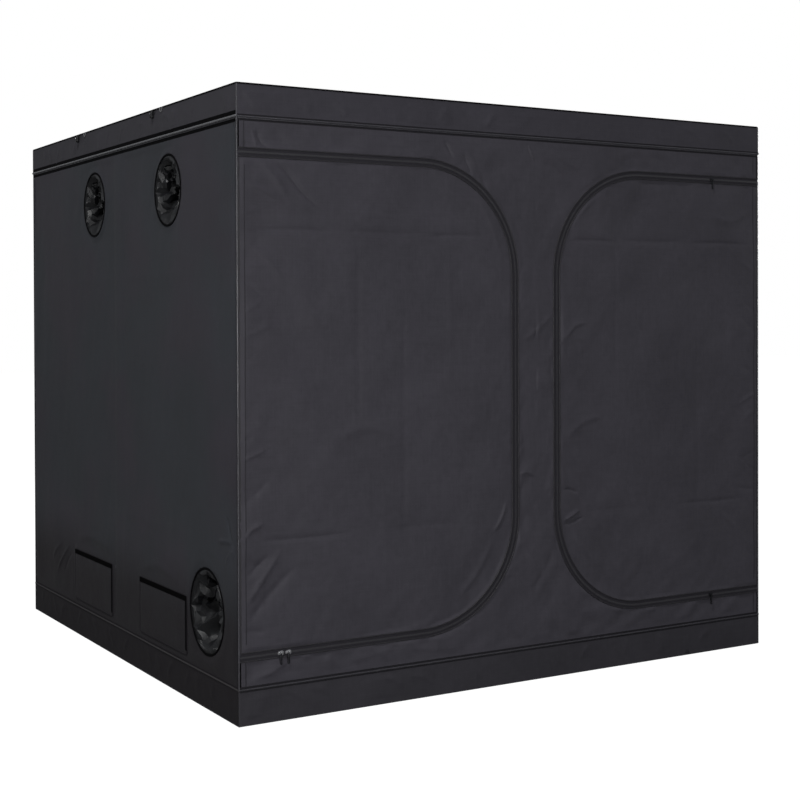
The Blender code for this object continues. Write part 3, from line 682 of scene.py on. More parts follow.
def puckers(route: Route, pitch: float, reach: float, height: float, seed: int,
            span: tuple[float, float] = (-9, 99), slant: float = 0.4) -> Height:
    """Returns short folds that start at a seam and run out into the cloth.

    Args:
        route: The seam.
        pitch: Distance between two folds.
        reach: How far they run.
        height: Their height.
        seed: Picks the pattern.
        span: The stretch of the seam that has them.
        slant: How far they lean along the seam.
    """

    def relief(u: np.ndarray, v: np.ndarray) -> np.ndarray:
        along, side = route.measure(u, v)
        away = np.abs(side)
        wave = noise((along + slant * side) / pitch + 5, away / reach + 5, seed)
        strong = rise(noise(along / (6 * pitch) + 3, away * 0 + 2, seed + 1), -0.5, 0.6)
        there = rise(along, span[0], span[0] + 0.15) * rise(span[1] - along, 0, 0.15)
        return height * wave * (0.25 + strong) * there * np.exp(-away / reach)

    return relief


def fan(centre: Point, folds: float, reach: float, height: float, seed: int) -> Height:
    """Returns folds that spread from one pulled place."""

    def relief(u: np.ndarray, v: np.ndarray) -> np.ndarray:
        angle = np.arctan2(v - centre[1], u - centre[0])
        away = np.hypot(u - centre[0], v - centre[1])
        ring = folds / math.tau
        wave = noise(np.cos(angle) * ring + 7, np.sin(angle) * ring + 7, seed)
        return height * wave * rise(away, 0.0, reach * 0.35) * np.exp(-away / reach)

    return relief


def calm(route: Route, near: float, far: float) -> Height:
    """Returns a mask that is 0 within near of a line and 1 beyond far."""
    return lambda u, v: rise(np.abs(route.measure(u, v)[1]), near, far)


def seam_masks() -> list[Height]:
    """Returns the masks that hold a wall flat along its corners and under both bands."""
    return [lambda u, v: rise(WALL - np.abs(u), 0.004, 0.045),
            lambda u, v: rise(BAND_FOOT - v, 0.020, 0.050) * rise(v - FLOOR_BAND, 0.014, 0.045)]


@dataclass
class Relief:
    """The heights of a panel: terms that add up, and masks that hold it flat in places.

    Args:
        terms: Heights in metres, outward positive.
        masks: Factors from 0 to 1.
        posts: Lines along which the cloth only stands out, because a tube lies behind it.
        proud: Whether it stands out everywhere, because more cloth lies behind it.
    """

    terms: list[Height] = field(default_factory=list)
    masks: list[Height] = field(default_factory=list)
    posts: list[Route] = field(default_factory=list)
    proud: bool = False

    def __call__(self, u: np.ndarray, v: np.ndarray) -> np.ndarray:
        total = np.zeros(u.shape)
        for term in self.terms:
            total = total + term(u, v)
        for mask in self.masks:
            total = total * mask(u, v)
        for post in self.posts:
            free = rise(np.abs(post.measure(u, v)[1]), 0.02, 0.07)
            total = np.where(total < 0, total * free, total)
        if self.proud:
            total = (total + np.sqrt(total**2 + 0.0006**2) - 0.0006) / 2
        return total

    def folds(self) -> list[Fold]:
        """Returns the sharp folds, which need a finer mesh."""
        return [term for term in self.terms if isinstance(term, Fold) and term.width < 0.0125]


# Meshes

def finished(name: str, mesh: bpy.types.Mesh, finishes: Sequence[Finish], angle: float) -> bpy.types.Object:
    """Returns an object of a mesh, with its materials and smooth shading up to an angle."""
    for finish in finishes:
        mesh.materials.append(finish.material())
    mesh.polygons.foreach_set("use_smooth", np.ones(len(mesh.polygons), bool))
    mesh.set_sharp_from_angle(angle=math.radians(angle))
    piece = bpy.data.objects.new(name, mesh)
    bpy.context.scene.collection.objects.link(piece)
    return piece


def applied(piece: bpy.types.Object) -> bpy.types.Object:
    """Returns the piece with its modifiers made part of its mesh."""
    graph = bpy.context.evaluated_depsgraph_get()
    mesh = bpy.data.meshes.new_from_object(piece.evaluated_get(graph), depsgraph=graph)
    piece.modifiers.clear()
    piece.data = mesh
    return piece


def joined(name: str, pieces: Sequence[bpy.types.Object]) -> bpy.types.Object:
    """Returns one piece made of several, with all their materials."""
    found = list(dict.fromkeys(material for piece in pieces for material in piece.data.materials))
    shape = bmesh.new()
    for piece in pieces:
        first = len(shape.faces)
        shape.from_mesh(piece.data)
        shape.faces.ensure_lookup_table()
        places = [found.index(material) for material in piece.data.materials]
        for face in shape.faces[first:]:
            face.material_index = places[face.material_index]
    mesh = bpy.data.meshes.new(name)
    shape.to_mesh(mesh)
    shape.free()
    for material in found:
        mesh.materials.append(material)
    for piece in pieces:
        bpy.data.objects.remove(piece)
    result = bpy.data.objects.new(name, mesh)
    bpy.context.scene.collection.objects.link(result)
    return result


@dataclass
class Panel:
    """One flat cut of cloth with its relief, thickness and lining.

    Args:
        name: Name of the piece.
        facing: The way that it looks.
        distance: Place of its outer face.
        outline: Its cut edge.
        holes: The openings in it.
        pitch: Size of the mesh.
        relief: Its folds.
        outer: Finish outside.
        inner: Finish inside.
    """

    name: str
    facing: Facing
    distance: float
    outline: Route
    holes: Sequence[Route] = ()
    pitch: float = 0.012
    relief: Relief = field(default_factory=Relief)
    outer: Finish = WALL_CLOTH
    inner: Finish = LINING
    thick: float = CLOTH

    def places(self) -> tuple[np.ndarray, list[Sequence[int]]]:
        """Returns the points and triangles of the cut, before its relief."""
        pitch = self.pitch * 1
        loops = [self.outline, *self.holes]
        low, high = self.outline.points.min(0), self.outline.points.max(0)
        columns = np.arange(low[0], high[0], pitch)
        rows = np.arange(low[1], high[1], pitch * math.sqrt(0.75))
        u, v = np.meshgrid(columns, rows)
        u = u + np.where(np.arange(len(rows)) % 2, pitch / 2, 0)[:, None]
        u, v = u.ravel(), v.ravel()
        folds = self.relief.folds()
        keep = np.ones(u.shape, bool)
        for fold in folds:
            (left, foot), (right, head) = fold.line.points.min(0), fold.line.points.max(0)
            room = 1.7 * fold.width + pitch * 0.4
            near = (u > left - room) & (u < right + room) & (v > foot - room) & (v < head + room)
            keep[near] &= np.abs(fold.line.measure(u[near], v[near])[1]) > room
        rows = [fold.rows() for fold in folds]
        if rows:
            rows = np.vstack(rows)
            cells = np.unique(np.round(rows / 0.0022).astype(int), axis=0, return_index=True)[1]
            rows = rows[cells]
            u, v = np.concatenate((u, rows[:, 0])), np.concatenate((v, rows[:, 1]))
            keep = np.concatenate((keep, np.ones(len(rows), bool)))
        keep &= within(loops, u, v)
        for loop in loops:
            keep &= np.abs(loop.measure(u, v)[1]) > pitch * 0.5
        points = [Vector(pair) for pair in zip(u[keep], v[keep])]
        edges = []
        for loop in loops:
            ring = loop.dense(pitch).points
            first = len(points)
            points += [Vector(pair) for pair in ring]
            edges += [(first + i, first + (i + 1) % len(ring)) for i in range(len(ring))]
        found = delaunay_2d_cdt(points, edges, [], 1, 1e-7)
        places = np.array([tuple(point) for point in found[0]])
        faces = np.array([face for face in found[2] if len(face) == 3])
        middles = places[faces].mean(1)
        return places, faces[within(loops, middles[:, 0], middles[:, 1])]

    def build(self) -> bpy.types.Object:
        """Returns the finished cloth."""
        places, faces = self.places()
        heights = self.relief(places[:, 0], places[:, 1])
        mesh = bpy.data.meshes.new(self.name)
        mesh.from_pydata(np.column_stack((places, heights)).tolist(), [], faces.tolist())
        layer = mesh.uv_layers.new(name="UVMap")
        corners = np.array([loop.vertex_index for loop in mesh.loops])
        layer.data.foreach_set("uv", places[corners].ravel())
        mesh.transform(self.facing.matrix(self.distance))
        piece = finished(self.name, mesh, (self.outer, self.inner), 60)
        solid = piece.modifiers.new("thickness", "SOLIDIFY")
        solid.thickness = self.thick
        solid.offset = -1
        solid.material_offset = 1
        solid.use_rim = True
        LOG.info("%s: %d triangles a side", self.name, len(faces))
        return applied(piece)


class Shape:
    """A mesh under construction from several bodies, each with its finish number."""

    def __init__(self) -> None:
        self.bm = bmesh.new()
        self.uv = self.bm.loops.layers.uv.new("UVMap")

    def _mark(self, faces: Iterable[bmesh.types.BMFace], finish: int) -> None:
        for face in faces:
            face.material_index = finish

    def block(self, size: Sequence[float], place: Matrix, bevel: float = 0.0,
              segments: int = 2, finish: int = 0) -> None:
        """Adds a box with rounded edges."""
        made = bmesh.ops.create_cube(self.bm, size=1.0)
        bmesh.ops.scale(self.bm, vec=size, verts=made["verts"])
        verts = made["verts"]
        faces = {face for vert in verts for face in vert.link_faces}
        if bevel:
            edges = list({edge for vert in verts for edge in vert.link_edges})
            cut = bmesh.ops.bevel(self.bm, geom=edges, offset=bevel, offset_type="OFFSET",
                                  segments=segments, profile=0.5, material=-1, affect="EDGES")
            faces = set(cut["faces"]) | {face for face in faces if face.is_valid}
        verts = list({vert for face in faces for vert in face.verts})
        bmesh.ops.transform(self.bm, matrix=place, verts=verts)
        self._mark(faces, finish)

    def turned(self, outline: Sequence[Point], place: Matrix, sides: int = 24, finish: int = 0) -> None:
        """Adds a body turned about the local Z axis from (radius, height) points."""
        verts = [self.bm.verts.new((r, 0, z)) for r, z in outline]
        edges = [self.bm.edges.new(pair) for pair in zip(verts, verts[1:])]
        before = set(self.bm.faces)
        bmesh.ops.spin(self.bm, geom=verts + edges, axis=(0, 0, 1), cent=(0, 0, 0),
                       angle=math.tau, steps=sides, use_merge=True)
        faces = [face for face in self.bm.faces if face not in before]
        verts = list({vert for face in faces for vert in face.verts})
        bmesh.ops.remove_doubles(self.bm, verts=verts, dist=0.000001)
        faces = [face for face in self.bm.faces if face not in before]
        verts = list({vert for face in faces for vert in face.verts})
        bmesh.ops.recalc_face_normals(self.bm, faces=faces)
        bmesh.ops.transform(self.bm, matrix=place, verts=verts)
        self._mark(faces, finish)

    def rod(self, start: Sequence[float], end: Sequence[float], radius: float, bore: float = 0.0,
            sides: int = 24, chamfer: float = 0.0006, finish: int = 0) -> None:
        """Adds a round bar or tube with broken edges between two places."""
        start, end = Vector(start), Vector(end)
        length = (end - start).length
        outline = [(radius - chamfer, 0), (radius, chamfer), (radius, length - chamfer), (radius - chamfer, length)]
        if bore:
            outline = [(bore, 0), *outline, (bore, length), (bore, 0)]
        else:
            outline = [(0, 0), *outline, (0, length)]
        turn = (end - start).to_track_quat("Z", "Y").to_matrix().to_4x4()
        self.turned(outline, Matrix.Translation(start) @ turn, sides, finish)

    def strip(self, facing: Facing, distance: float, route: Route, profile: Sequence[Point],
              finish: int = 0, lift: Optional[Height] = None) -> None:
        """Adds a closed profile run along a route.

        Args:
            facing: The panel's direction.
            distance: The face that the profile stands on.
            route: The line that it follows.
            profile: (side, out) points, counterclockwise when seen along the route.
            finish: Finish number.
            lift: Relief of the cloth beneath.
        """
        matrix = facing.matrix(distance)
        normals = route.normals()
        lengths = route.lengths()
        around = np.array(profile)
        girth = np.concatenate(([0.0], np.cumsum(np.linalg.norm(np.roll(around, -1, 0) - around, axis=1))))
        rings = []
        for point, normal in zip(route.points, normals):
            height = float(lift(point[:1], point[1:])[0]) if lift else 0.0
            ring = [self.bm.verts.new(matrix @ Vector((*(point + normal * s), o + height))) for s, o in profile]
            rings.append(ring)
        count = len(profile)
        pairs = list(zip(range(len(rings)), range(1, len(rings))))
        if route.closed:
            pairs.append((len(rings) - 1, 0))
        for first, (a, b) in enumerate(pairs):
            for i in range(count):
                j = (i + 1) % count
                face = self.bm.faces.new((rings[a][j], rings[b][j], rings[b][i], rings[a][i]))
                face.material_index = finish
                start, end = lengths[first], lengths[first + 1]
                for loop, uv in zip(face.loops, ((start, girth[i + 1]), (end, girth[i + 1]),
                                                 (end, girth[i]), (start, girth[i]))):
                    loop[self.uv].uv = uv
        if not route.closed:
            self._mark([self.bm.faces.new(rings[0][::-1]), self.bm.faces.new(rings[-1])], finish)

    def boxes(self, corners: np.ndarray, finish: int = 0) -> None:
        """Adds many small boxes from arrays of eight corners each."""
        for box in corners:
            verts = [self.bm.verts.new(corner) for corner in box]
            for ids in ((0, 3, 2, 1), (4, 5, 6, 7), (0, 1, 5, 4), (1, 2, 6, 5), (2, 3, 7, 6), (3, 0, 4, 7)):
                self.bm.faces.new([verts[i] for i in ids]).material_index = finish

    def plate(self, outline: Sequence[Point], thick: float, place: Matrix, bevel: float = 0.0,
              holes: Sequence[Sequence[Point]] = (), finish: int = 0) -> None:
        """Adds a flat plate cut to an outline, with rounded rims."""
        loops = [outline, *holes]
        points = [Vector(point) for loop in loops for point in loop]
        edges, first = [], 0
        for loop in loops:
            edges += [(first + i, first + (i + 1) % len(loop)) for i in range(len(loop))]
            first += len(loop)
        found = delaunay_2d_cdt(points, edges, [], 1, 1e-8)
        places = np.array([tuple(point) for point in found[0]])
        faces = np.array([face for face in found[2] if len(face) == 3])
        middles = places[faces].mean(1)
        faces = faces[within([Route(loop, True) for loop in loops], middles[:, 0], middles[:, 1])]
        base = [self.bm.verts.new((x, y, -thick / 2)) for x, y in places]
        made = [self.bm.faces.new([base[i] for i in face]) for face in faces]
        grown = bmesh.ops.extrude_face_region(self.bm, geom=made)["geom"]
        top = [item for item in grown if isinstance(item, bmesh.types.BMVert)]
        bmesh.ops.translate(self.bm, vec=(0, 0, thick), verts=top)
        verts = list({vert for vert in base + top if vert.is_valid and vert.link_faces})
        faces = list({face for vert in verts for face in vert.link_faces})
        bmesh.ops.recalc_face_normals(self.bm, faces=faces)
        if bevel:
            rims = [edge for edge in {e for vert in verts for e in vert.link_edges}
                    if len(edge.link_faces) == 2 and edge.calc_face_angle(0) > 1.2]
            cut = bmesh.ops.bevel(self.bm, geom=rims, offset=bevel, offset_type="OFFSET",
                                  segments=2, profile=0.5, material=-1, affect="EDGES")
            faces = [face for face in faces if face.is_valid] + cut["faces"]
            verts = list({vert for face in faces for vert in face.verts})
        bmesh.ops.transform(self.bm, matrix=place, verts=verts)
        self._mark(faces, finish)

    def done(self, name: str, *finishes: Finish, angle: float = 40) -> bpy.types.Object:
        """Returns the finished piece."""
        mesh = bpy.data.meshes.new(name)
        self.bm.to_mesh(mesh)
        self.bm.free()
        LOG.info("%s: %d faces", name, len(mesh.polygons))
        return finished(name, mesh, finishes, angle)


def place_on(piece: bpy.types.Object, body: str, slot: str, *nodes: str) -> bpy.types.Object:
    """Lets a piece ride on a body and hides the CAD nodes that it stands for."""
    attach(piece, body)
    if nodes:
        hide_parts(*nodes)
    return piece


# Profiles of trims, as (side, out) points

def round_profile(radius: float, side: float = 0.0, out: float = 0.0, sides: int = 10) -> list[Point]:
    """Returns a round cord's profile."""
    return arc((side, out), radius, 0, 360, sides)[:-1]


def tape_profile(near: float, far: float, low: float, high: float) -> list[Point]:
    """Returns a flat tape's profile with broken edges."""
    edge = min(0.0003, (high - low) / 2)
    low_side, high_side = sorted((near, far))
    return [(low_side, low), (high_side, low), (high_side, high - edge), (high_side - edge, high),
            (low_side + edge, high), (low_side, high - edge)]


def ridge_profile(near: float, far: float, height: float) -> list[Point]:
    """Returns the profile of a folded edge that stands up as a low ridge."""
    low_side, high_side = sorted((near, far))
    width = high_side - low_side
    return [(low_side, 0), (high_side, 0), (high_side - width * 0.04, height * 0.55),
            (high_side - width * 0.25, height * 0.95), (low_side + width * 0.5, height),
            (low_side + width * 0.22, height * 0.9), (low_side + width * 0.03, height * 0.5)]


# Doors and front wall

@dataclass(frozen=True)
class DoorPlan:
    """Where one door is cut out of the front wall.

    Args:
        side: -1 for the left door and 1 for the right one.
        reach: Place of the upright stretch of its zip.
    """

    side: int
    reach: float

    @property
    def word(self) -> str:
        """The door's side as a word."""
        return "left" if self.side < 0 else "right"

    @property
    def route(self) -> Route:
        """The middle line of its zip, with the door to the left of it."""
        hinge, corner = self.side * HINGE, DOOR_CORNER
        centre = self.reach + self.side * corner
        if self.side < 0:
            points = [(hinge, SILL), *arc((centre, SILL + corner), corner, -90, 0, 24),
                      *arc((centre, HEAD - corner), corner, 0, 90, 24), (hinge, HEAD)]
        else:
            points = [(hinge, HEAD), *arc((centre, HEAD - corner), corner, 90, 180, 24),
                      *arc((centre, SILL + corner), corner, 180, 270, 24), (hinge, SILL)]
        return Route(points)


LEFT_DOOR = DoorPlan(-1, -0.053)
RIGHT_DOOR = DoorPlan(1, 0.142)


class ZipHalf:
    """One side of a zip: its tape, the folded edge beside it and its half of the coil."""

    PITCH = 0.0026

    def __init__(self, plan: DoorPlan, inward: int) -> None:
        self.plan = plan
        self.inward = inward

    def build(self, shape: Shape) -> None:
        """Adds the half to a shape with finishes tape, darkened folded edge and teeth."""
        route = self.plan.route.dense(0.03)
        way, side = self.inward, self.plan.side
        if way > 0:
            route.points[:, 0] = side * np.minimum(side * route.points[:, 0], HINGE - HINGE_CLEAR)
        shape.strip(Facing.FRONT, WALL, route, tape_profile(way * 0.0009, way * TAPE, 0.0002, 0.0012), 0)
        # painted shade: the folded cloth edge is coloured much darker than its cloth, so it reads as the shade along
        # the zip's edges
        shape.strip(Facing.FRONT, WALL, route, ridge_profile(way * 0.0122, way * 0.0172, 0.0024), 1)
        self._teeth(shape)

    def _teeth(self, shape: Shape) -> None:
        """Adds the coil's teeth, each hooked over the middle line."""
        route = self.plan.route.dense(self.PITCH)
        lengths = route.lengths()
        count = int(lengths[-1] / self.PITCH)
        at = (np.arange(count) + (0.5 if self.inward > 0 else 0.0)) * self.PITCH
        at = at[(at > HINGE_CLEAR) & (at < lengths[-1] - HINGE_CLEAR)]
        points = np.stack([np.interp(at, lengths, route.points[:, i]) for i in (0, 1)], 1)
        normals = route.normals()
        normals /= np.linalg.norm(normals, axis=1)[:, None]
        side = np.stack([np.interp(at, lengths, normals[:, i]) for i in (0, 1)], 1)
        along = np.stack((side[:, 1], -side[:, 0]), 1)
        half = self.PITCH * 0.3
        matrix = Facing.FRONT.matrix(WALL)
        near, far = -0.0008 * self.inward, 0.0042 * self.inward
        boxes = []
        for point, left, way in zip(points, side, along):
            corners = []
            for out, shrink in ((0.0004, 1.0), (0.0022, 0.72)):
                for s, t in ((near, -half), (far, -half), (far, half), (near, half)):
                    place = point + left * s + way * t * shrink
                    corners.append(matrix @ Vector((*place, out)))
            if self.inward > 0:
                corners = corners[3::-1] + corners[:3:-1]
            boxes.append(corners)
        shape.boxes(boxes, 2)


class FrontWall:
    """The front wall round both doors, with the fixed halves of both zips."""

    def relief(self) -> Relief:
        """Returns the wall's folds: puckers at the zips, the strip's crease and long drags."""
        left, right = LEFT_DOOR.route, RIGHT_DOOR.route
        return Relief(
            terms=[
                puckers(left, 0.060, 0.060, 0.0070, 11, slant=0.7),
                puckers(right, 0.056, 0.060, 0.0070, 23, slant=-0.7),
                puckers(left, 0.022, 0.022, 0.0046, 12),
                puckers(right, 0.022, 0.022, 0.0046, 24),
                Fold(((0.041, 2.10), (0.040, 1.60), (0.043, 1.05)), 0.0042, -0.0044, 0.9),
                Fold(((0.046, 1.70), (0.052, 1.30), (0.048, 0.75)), 0.009, 0.0014, 0.4),
                Fold(((-0.372, 2.06), (-0.353, 2.024), (-0.33, 1.984)), 0.006, -0.0032),
                Fold(((-0.29, 2.01), (-0.271, 1.974), (-0.245, 1.92)), 0.006, -0.0034),
                Fold(((-0.25, 2.0), (-0.207, 1.927), (-0.165, 1.83)), 0.012, -0.0046),
                Fold(((-0.31, 2.04), (-0.25, 1.99), (-0.19, 1.90)), 0.012, 0.0036),
                Fold(((0.008, 2.068), (0.020, 2.03), (0.042, 1.985)), 0.006, 0.0040, 0.9),
                Fold(((0.05, 2.004), (0.126, 1.973), (0.225, 1.925)), 0.014, -0.0044),
                Fold(((0.10, 2.04), (0.19, 2.00), (0.27, 1.97)), 0.013, 0.0034),
                Fold(((-1.126, 2.05), (-1.109, 2.002), (-1.069, 1.972)), 0.006, -0.0036, 0.9),
                Fold(((-1.145, 2.05), (-1.13, 2.0), (-1.125, 1.97)), 0.006, 0.0024),
                Fold(((-0.62, 2.06), (-0.56, 2.02), (-0.50, 1.99)), 0.012, -0.0030),
                Fold(((-0.10, 0.62), (-0.02, 0.52), (0.06, 0.38)), 0.014, 0.0034),
                Fold(((0.13, 0.52), (0.08, 0.42), (-0.02, 0.30)), 0.014, -0.0034),
                Fold(((0.13, 1.42), (0.06, 1.36), (-0.03, 1.30)), 0.012, 0.0032),
                Fold(((-0.03, 1.18), (0.04, 1.10), (0.12, 1.07)), 0.010, -0.0034),
                Fold(((-0.04, 0.79), (0.00, 0.80), (0.05, 0.77)), 0.009, 0.0034),
                Fold(((-1.16, 0.15), (-1.08, 0.17), (-1.0, 0.21)), 0.012, 0.0030),
                Fold(((-0.9, 0.14), (-0.6, 0.19), (-0.3, 0.15)), 0.020, 0.0026),
                drape(0.13, 0.055, 0.0026, 31, 40),
                drape(0.16, 0.06, 0.0022, 35, -38),
                drape(0.5, 0.12, 0.0016, 32, 4),
                drape(0.05, 0.035, 0.0006, 33),
            ],
            masks=[calm(left, 0.0165, 0.027), calm(right, 0.0165, 0.027),
                   *seam_masks()],
            posts=[Route(((STRIP_MIDDLE, 0), (STRIP_MIDDLE, TOP)))],
        )

    def outline(self) -> Route:
        """Returns the wall's cut edge, in and out of both door openings."""
        left = LEFT_DOOR.route.beside(-ZIP_GAP).points[::-1].tolist()
        right = RIGHT_DOOR.route.beside(-ZIP_GAP).points[::-1].tolist()
        return Route([(-WALL, WALL_FOOT), (WALL, WALL_FOOT), (WALL, SILL - ZIP_GAP), *right,
                      (WALL, HEAD + ZIP_GAP), (WALL, WALL_HEAD), (-WALL, WALL_HEAD),
                      (-WALL, HEAD + ZIP_GAP), *left, (-WALL, SILL - ZIP_GAP)], True)

    def build(self) -> None:
        """Builds the wall and the fixed zip halves."""
        wall = Panel("front_wall_cloth", Facing.FRONT, WALL, self.outline(), (), 0.0070, self.relief()).build()
        place_on(wall, "tent", "black_cloth", "front_wall")
        for plan in (LEFT_DOOR, RIGHT_DOOR):
            shape = Shape()
            ZipHalf(plan, -1).build(shape)
            piece = shape.done(f"{plan.word}_door_zip_half", ZIP_TAPE, ZIP_RIDGE_PAINTED_SHADE, TEETH)
            place_on(piece, "tent", "zip_tape", f"{plan.word}_door_zip")


class Door:
    """One zipped door: its panel and the loose half of the zip."""

    def __init__(self, plan: DoorPlan, seed: int) -> None:
        self.plan = plan
        self.seed = seed

    def relief(self) -> Relief:
        """Returns the door's folds: packing creases, drags at its corners and puckers at the zip."""
        route, side = self.plan.route, self.plan.side
        terms = [
            puckers(route, 0.064, 0.070, 0.0050, self.seed + 3, slant=-0.8),
            puckers(route, 0.024, 0.020, 0.0032, self.seed + 4),
            Fold(((side * 1.17, 1.70), (side * 0.98, 1.703), (side * 0.80, 1.698)), 0.009, -0.0030, 0.5),
            Fold(((side * 0.84, 1.705), (side * 0.60, 1.700), (side * 0.42, 1.704)), 0.011, -0.0027, 0.4),
            Fold(((side * 0.46, 1.694), (side * 0.32, 1.699), (side * 0.18, 1.697)), 0.009, -0.0030, 0.5),
            Fold(((side * 1.15, 0.63), (side * 0.95, 0.626), (side * 0.74, 0.63)), 0.010, -0.0027, 0.4),
            Fold(((side * 0.62, 0.628), (side * 0.44, 0.633), (side * 0.24, 0.629)), 0.013, -0.0014, 0.3),
            drape(1.2, 0.45, 0.0055, self.seed, 6),
            drape(0.30, 0.12, 0.0030, self.seed + 1, 32),
            drape(0.28, 0.11, 0.0026, self.seed + 6, -40),
            drape(0.12, 0.05, 0.0009, self.seed + 2, -30),
            drape(0.05, 0.035, 0.0005, self.seed + 5),
            *self.hinge_dimples(),
        ]
        if side < 0:
            terms += [crease((u, high), (u + 0.004, low), 0.013, h * 1.6, 0.3)
                      for u, high, low, h in ((-0.737, 1.8, 0.9, -0.0008), (-0.548, 1.6, 0.4, -0.0008), (-0.351, 1.9, 1.1, 0.0007))]
            terms += [
                Fold(((-1.075, 1.95), (-1.014, 1.903), (-0.95, 1.83), (-0.88, 1.78)), 0.0075, -0.0044, 0.9),
                Fold(((-1.12, 1.94), (-1.06, 1.88), (-1.00, 1.80)), 0.014, 0.0038),
                Fold(((-1.18, 1.86), (-1.11, 1.84), (-1.03, 1.80)), 0.009, 0.0030),
                Fold(((-1.19, 1.66), (-1.09, 1.60), (-1.02, 1.50)), 0.016, 0.0026),
                Fold(((-1.175, 0.40), (-1.112, 0.49), (-1.03, 0.60)), 0.012, 0.0042),
                Fold(((-1.18, 0.33), (-1.08, 0.44), (-0.97, 0.54)), 0.014, -0.0034),
                Fold(((-1.175, 0.639), (-1.148, 0.671), (-1.10, 0.69)), 0.010, 0.0034),
                Fold(((-1.17, 0.50), (-1.13, 0.54), (-1.08, 0.58)), 0.009, -0.0030),
                Fold(((-0.32, 0.34), (-0.22, 0.44), (-0.14, 0.58)), 0.014, 0.0036),
                Fold(((-0.10, 0.70), (-0.12, 0.64), (-0.16, 0.58)), 0.008, 0.0040, 0.9),
                Fold(((-0.26, 1.87), (-0.18, 1.78), (-0.12, 1.62)), 0.014, 0.0034),
                Fold(((-0.85, 0.95), (-0.70, 1.0), (-0.55, 0.96)), 0.030, 0.0030),
            ]
        else:
            terms += [crease((u, high), (u, low), 0.013, h * 1.6, 0.3)
                      for u, high, low, h in ((0.43, 1.9, 1.0, -0.0008), (0.86, 1.5, 0.3, -0.0008))]
            terms += [
                Fold(((0.170, 0.60), (0.205, 0.612), (0.26, 0.64)), 0.007, 0.0050, 0.9),
                Fold(((0.172, 0.585), (0.22, 0.59), (0.28, 0.61)), 0.006, -0.0040, 0.9),
                Fold(((0.172, 0.722), (0.21, 0.718), (0.25, 0.70)), 0.006, -0.0040, 0.9),
                Fold(((0.18, 0.92), (0.27, 0.98), (0.38, 1.0)), 0.014, 0.0030),
                Fold(((0.21, 0.58), (0.27, 0.48), (0.38, 0.38)), 0.014, 0.0038),
                Fold(((0.19, 1.70), (0.25, 1.80), (0.36, 1.88)), 0.014, 0.0034),
                Fold(((0.17, 1.30), (0.23, 1.36), (0.30, 1.37)), 0.010, 0.0034),
                Fold(((1.17, 0.38), (1.08, 0.50), (0.96, 0.60)), 0.016, 0.0034),
                Fold(((1.17, 1.86), (1.05, 1.80), (0.92, 1.82)), 0.016, 0.0032),
            ]
        line = Route(((side * HINGE, SILL), (side * HINGE, HEAD)))
        return Relief(terms, [calm(route, 0.0165, 0.027), calm(line, 0.003, 0.03)], [line])

    def hinge_dimples(self) -> list[Height]:
        """Returns small pulled folds beside the hinge line."""
        rng = np.random.default_rng(self.seed + 9)
        side = self.plan.side
        terms = []
        for z in np.arange(SILL + 0.08, HEAD - 0.05, 0.085):
            z = z + rng.uniform(-0.02, 0.02)
            reach = rng.uniform(0.04, 0.12)
            drop = rng.uniform(-0.9, 0.9) * reach
            ends = ((side * 1.185, z), (side * (1.185 - reach / 2), z + drop * 0.4), (side * (1.185 - reach), z + drop))
            terms.append(Fold(ends, rng.uniform(0.008, 0.013), rng.uniform(-0.0024, 0.0020), 0.5))
        return terms

    def hem(self, shape: Shape) -> None:
        """Adds a dark strip beside the corner welt that paints the shade of a groove there, and the stitched seam of
        the hem along the hinge.
        """
        side, relief = self.plan.side, self.relief()
        # painted shade: the first strip is the dark line of the groove beside the welt; the second is the stitched seam
        for away, profile, finish in ((0.0068, tape_profile(-0.0025, 0.0025, 0.0, 0.0007), 1),
                                      (0.0260, tape_profile(-0.0020, 0.0020, 0.0, 0.0005), 3)):
            line = Route(((side * (HINGE - away), SILL + 0.018), (side * (HINGE - away), HEAD - 0.018))).dense(0.03)
            shape.strip(Facing.FRONT, WALL, line, profile, finish, relief)

    def build(self) -> None:
        """Builds the door and its zip half."""
        plan = self.plan
        edge = plan.route.beside(ZIP_GAP)
        outline = Route(edge.points, True)
        panel = Panel(f"{plan.word}_door_cloth", Facing.FRONT, WALL, outline, (), 0.0078, self.relief()).build()
        body = f"{plan.word}_door_body"
        place_on(panel, body, "black_cloth", f"{plan.word}_door")
        shape = Shape()
        ZipHalf(plan, 1).build(shape)
        self.hem(shape)
        trim = place_on(shape.done(f"{plan.word}_door_loose_zip_half", ZIP_TAPE, ZIP_RIDGE_PAINTED_SHADE, TEETH, SEAM), body, "zip_tape")


# Sliders and pulls

@dataclass(frozen=True)
class SliderPlan:
    """One zip slider: where it stands and which metal it has."""

    name: str
    body: str
    pull: str
    pull_body: str
    at: Point
    metal: Finish
    pull_metal: Finish
    slot: str


SLIDERS = (
    SliderPlan("left_door_outer_slider", "left_outer_slider_body", "left_door_outer_slider_pull",
               "left_outer_pull_body", (-1.043, SILL), BRIGHT, DARK, "bright_metal"),
    SliderPlan("left_door_inner_slider", "left_inner_slider_body", "left_door_inner_slider_pull",
               "left_inner_pull_body", (-1.014, SILL), BRIGHT, DARK, "bright_metal"),
    SliderPlan("right_door_lower_slider", "right_lower_slider_body", "right_door_lower_slider_pull",
               "right_lower_pull_body", (0.929, SILL), DARK, DARK, "dark_metal"),
    SliderPlan("right_door_upper_slider", "right_upper_slider_body", "right_door_upper_slider_pull",
               "right_upper_pull_body", (0.940, HEAD), DARK, DARK, "dark_metal"),
)


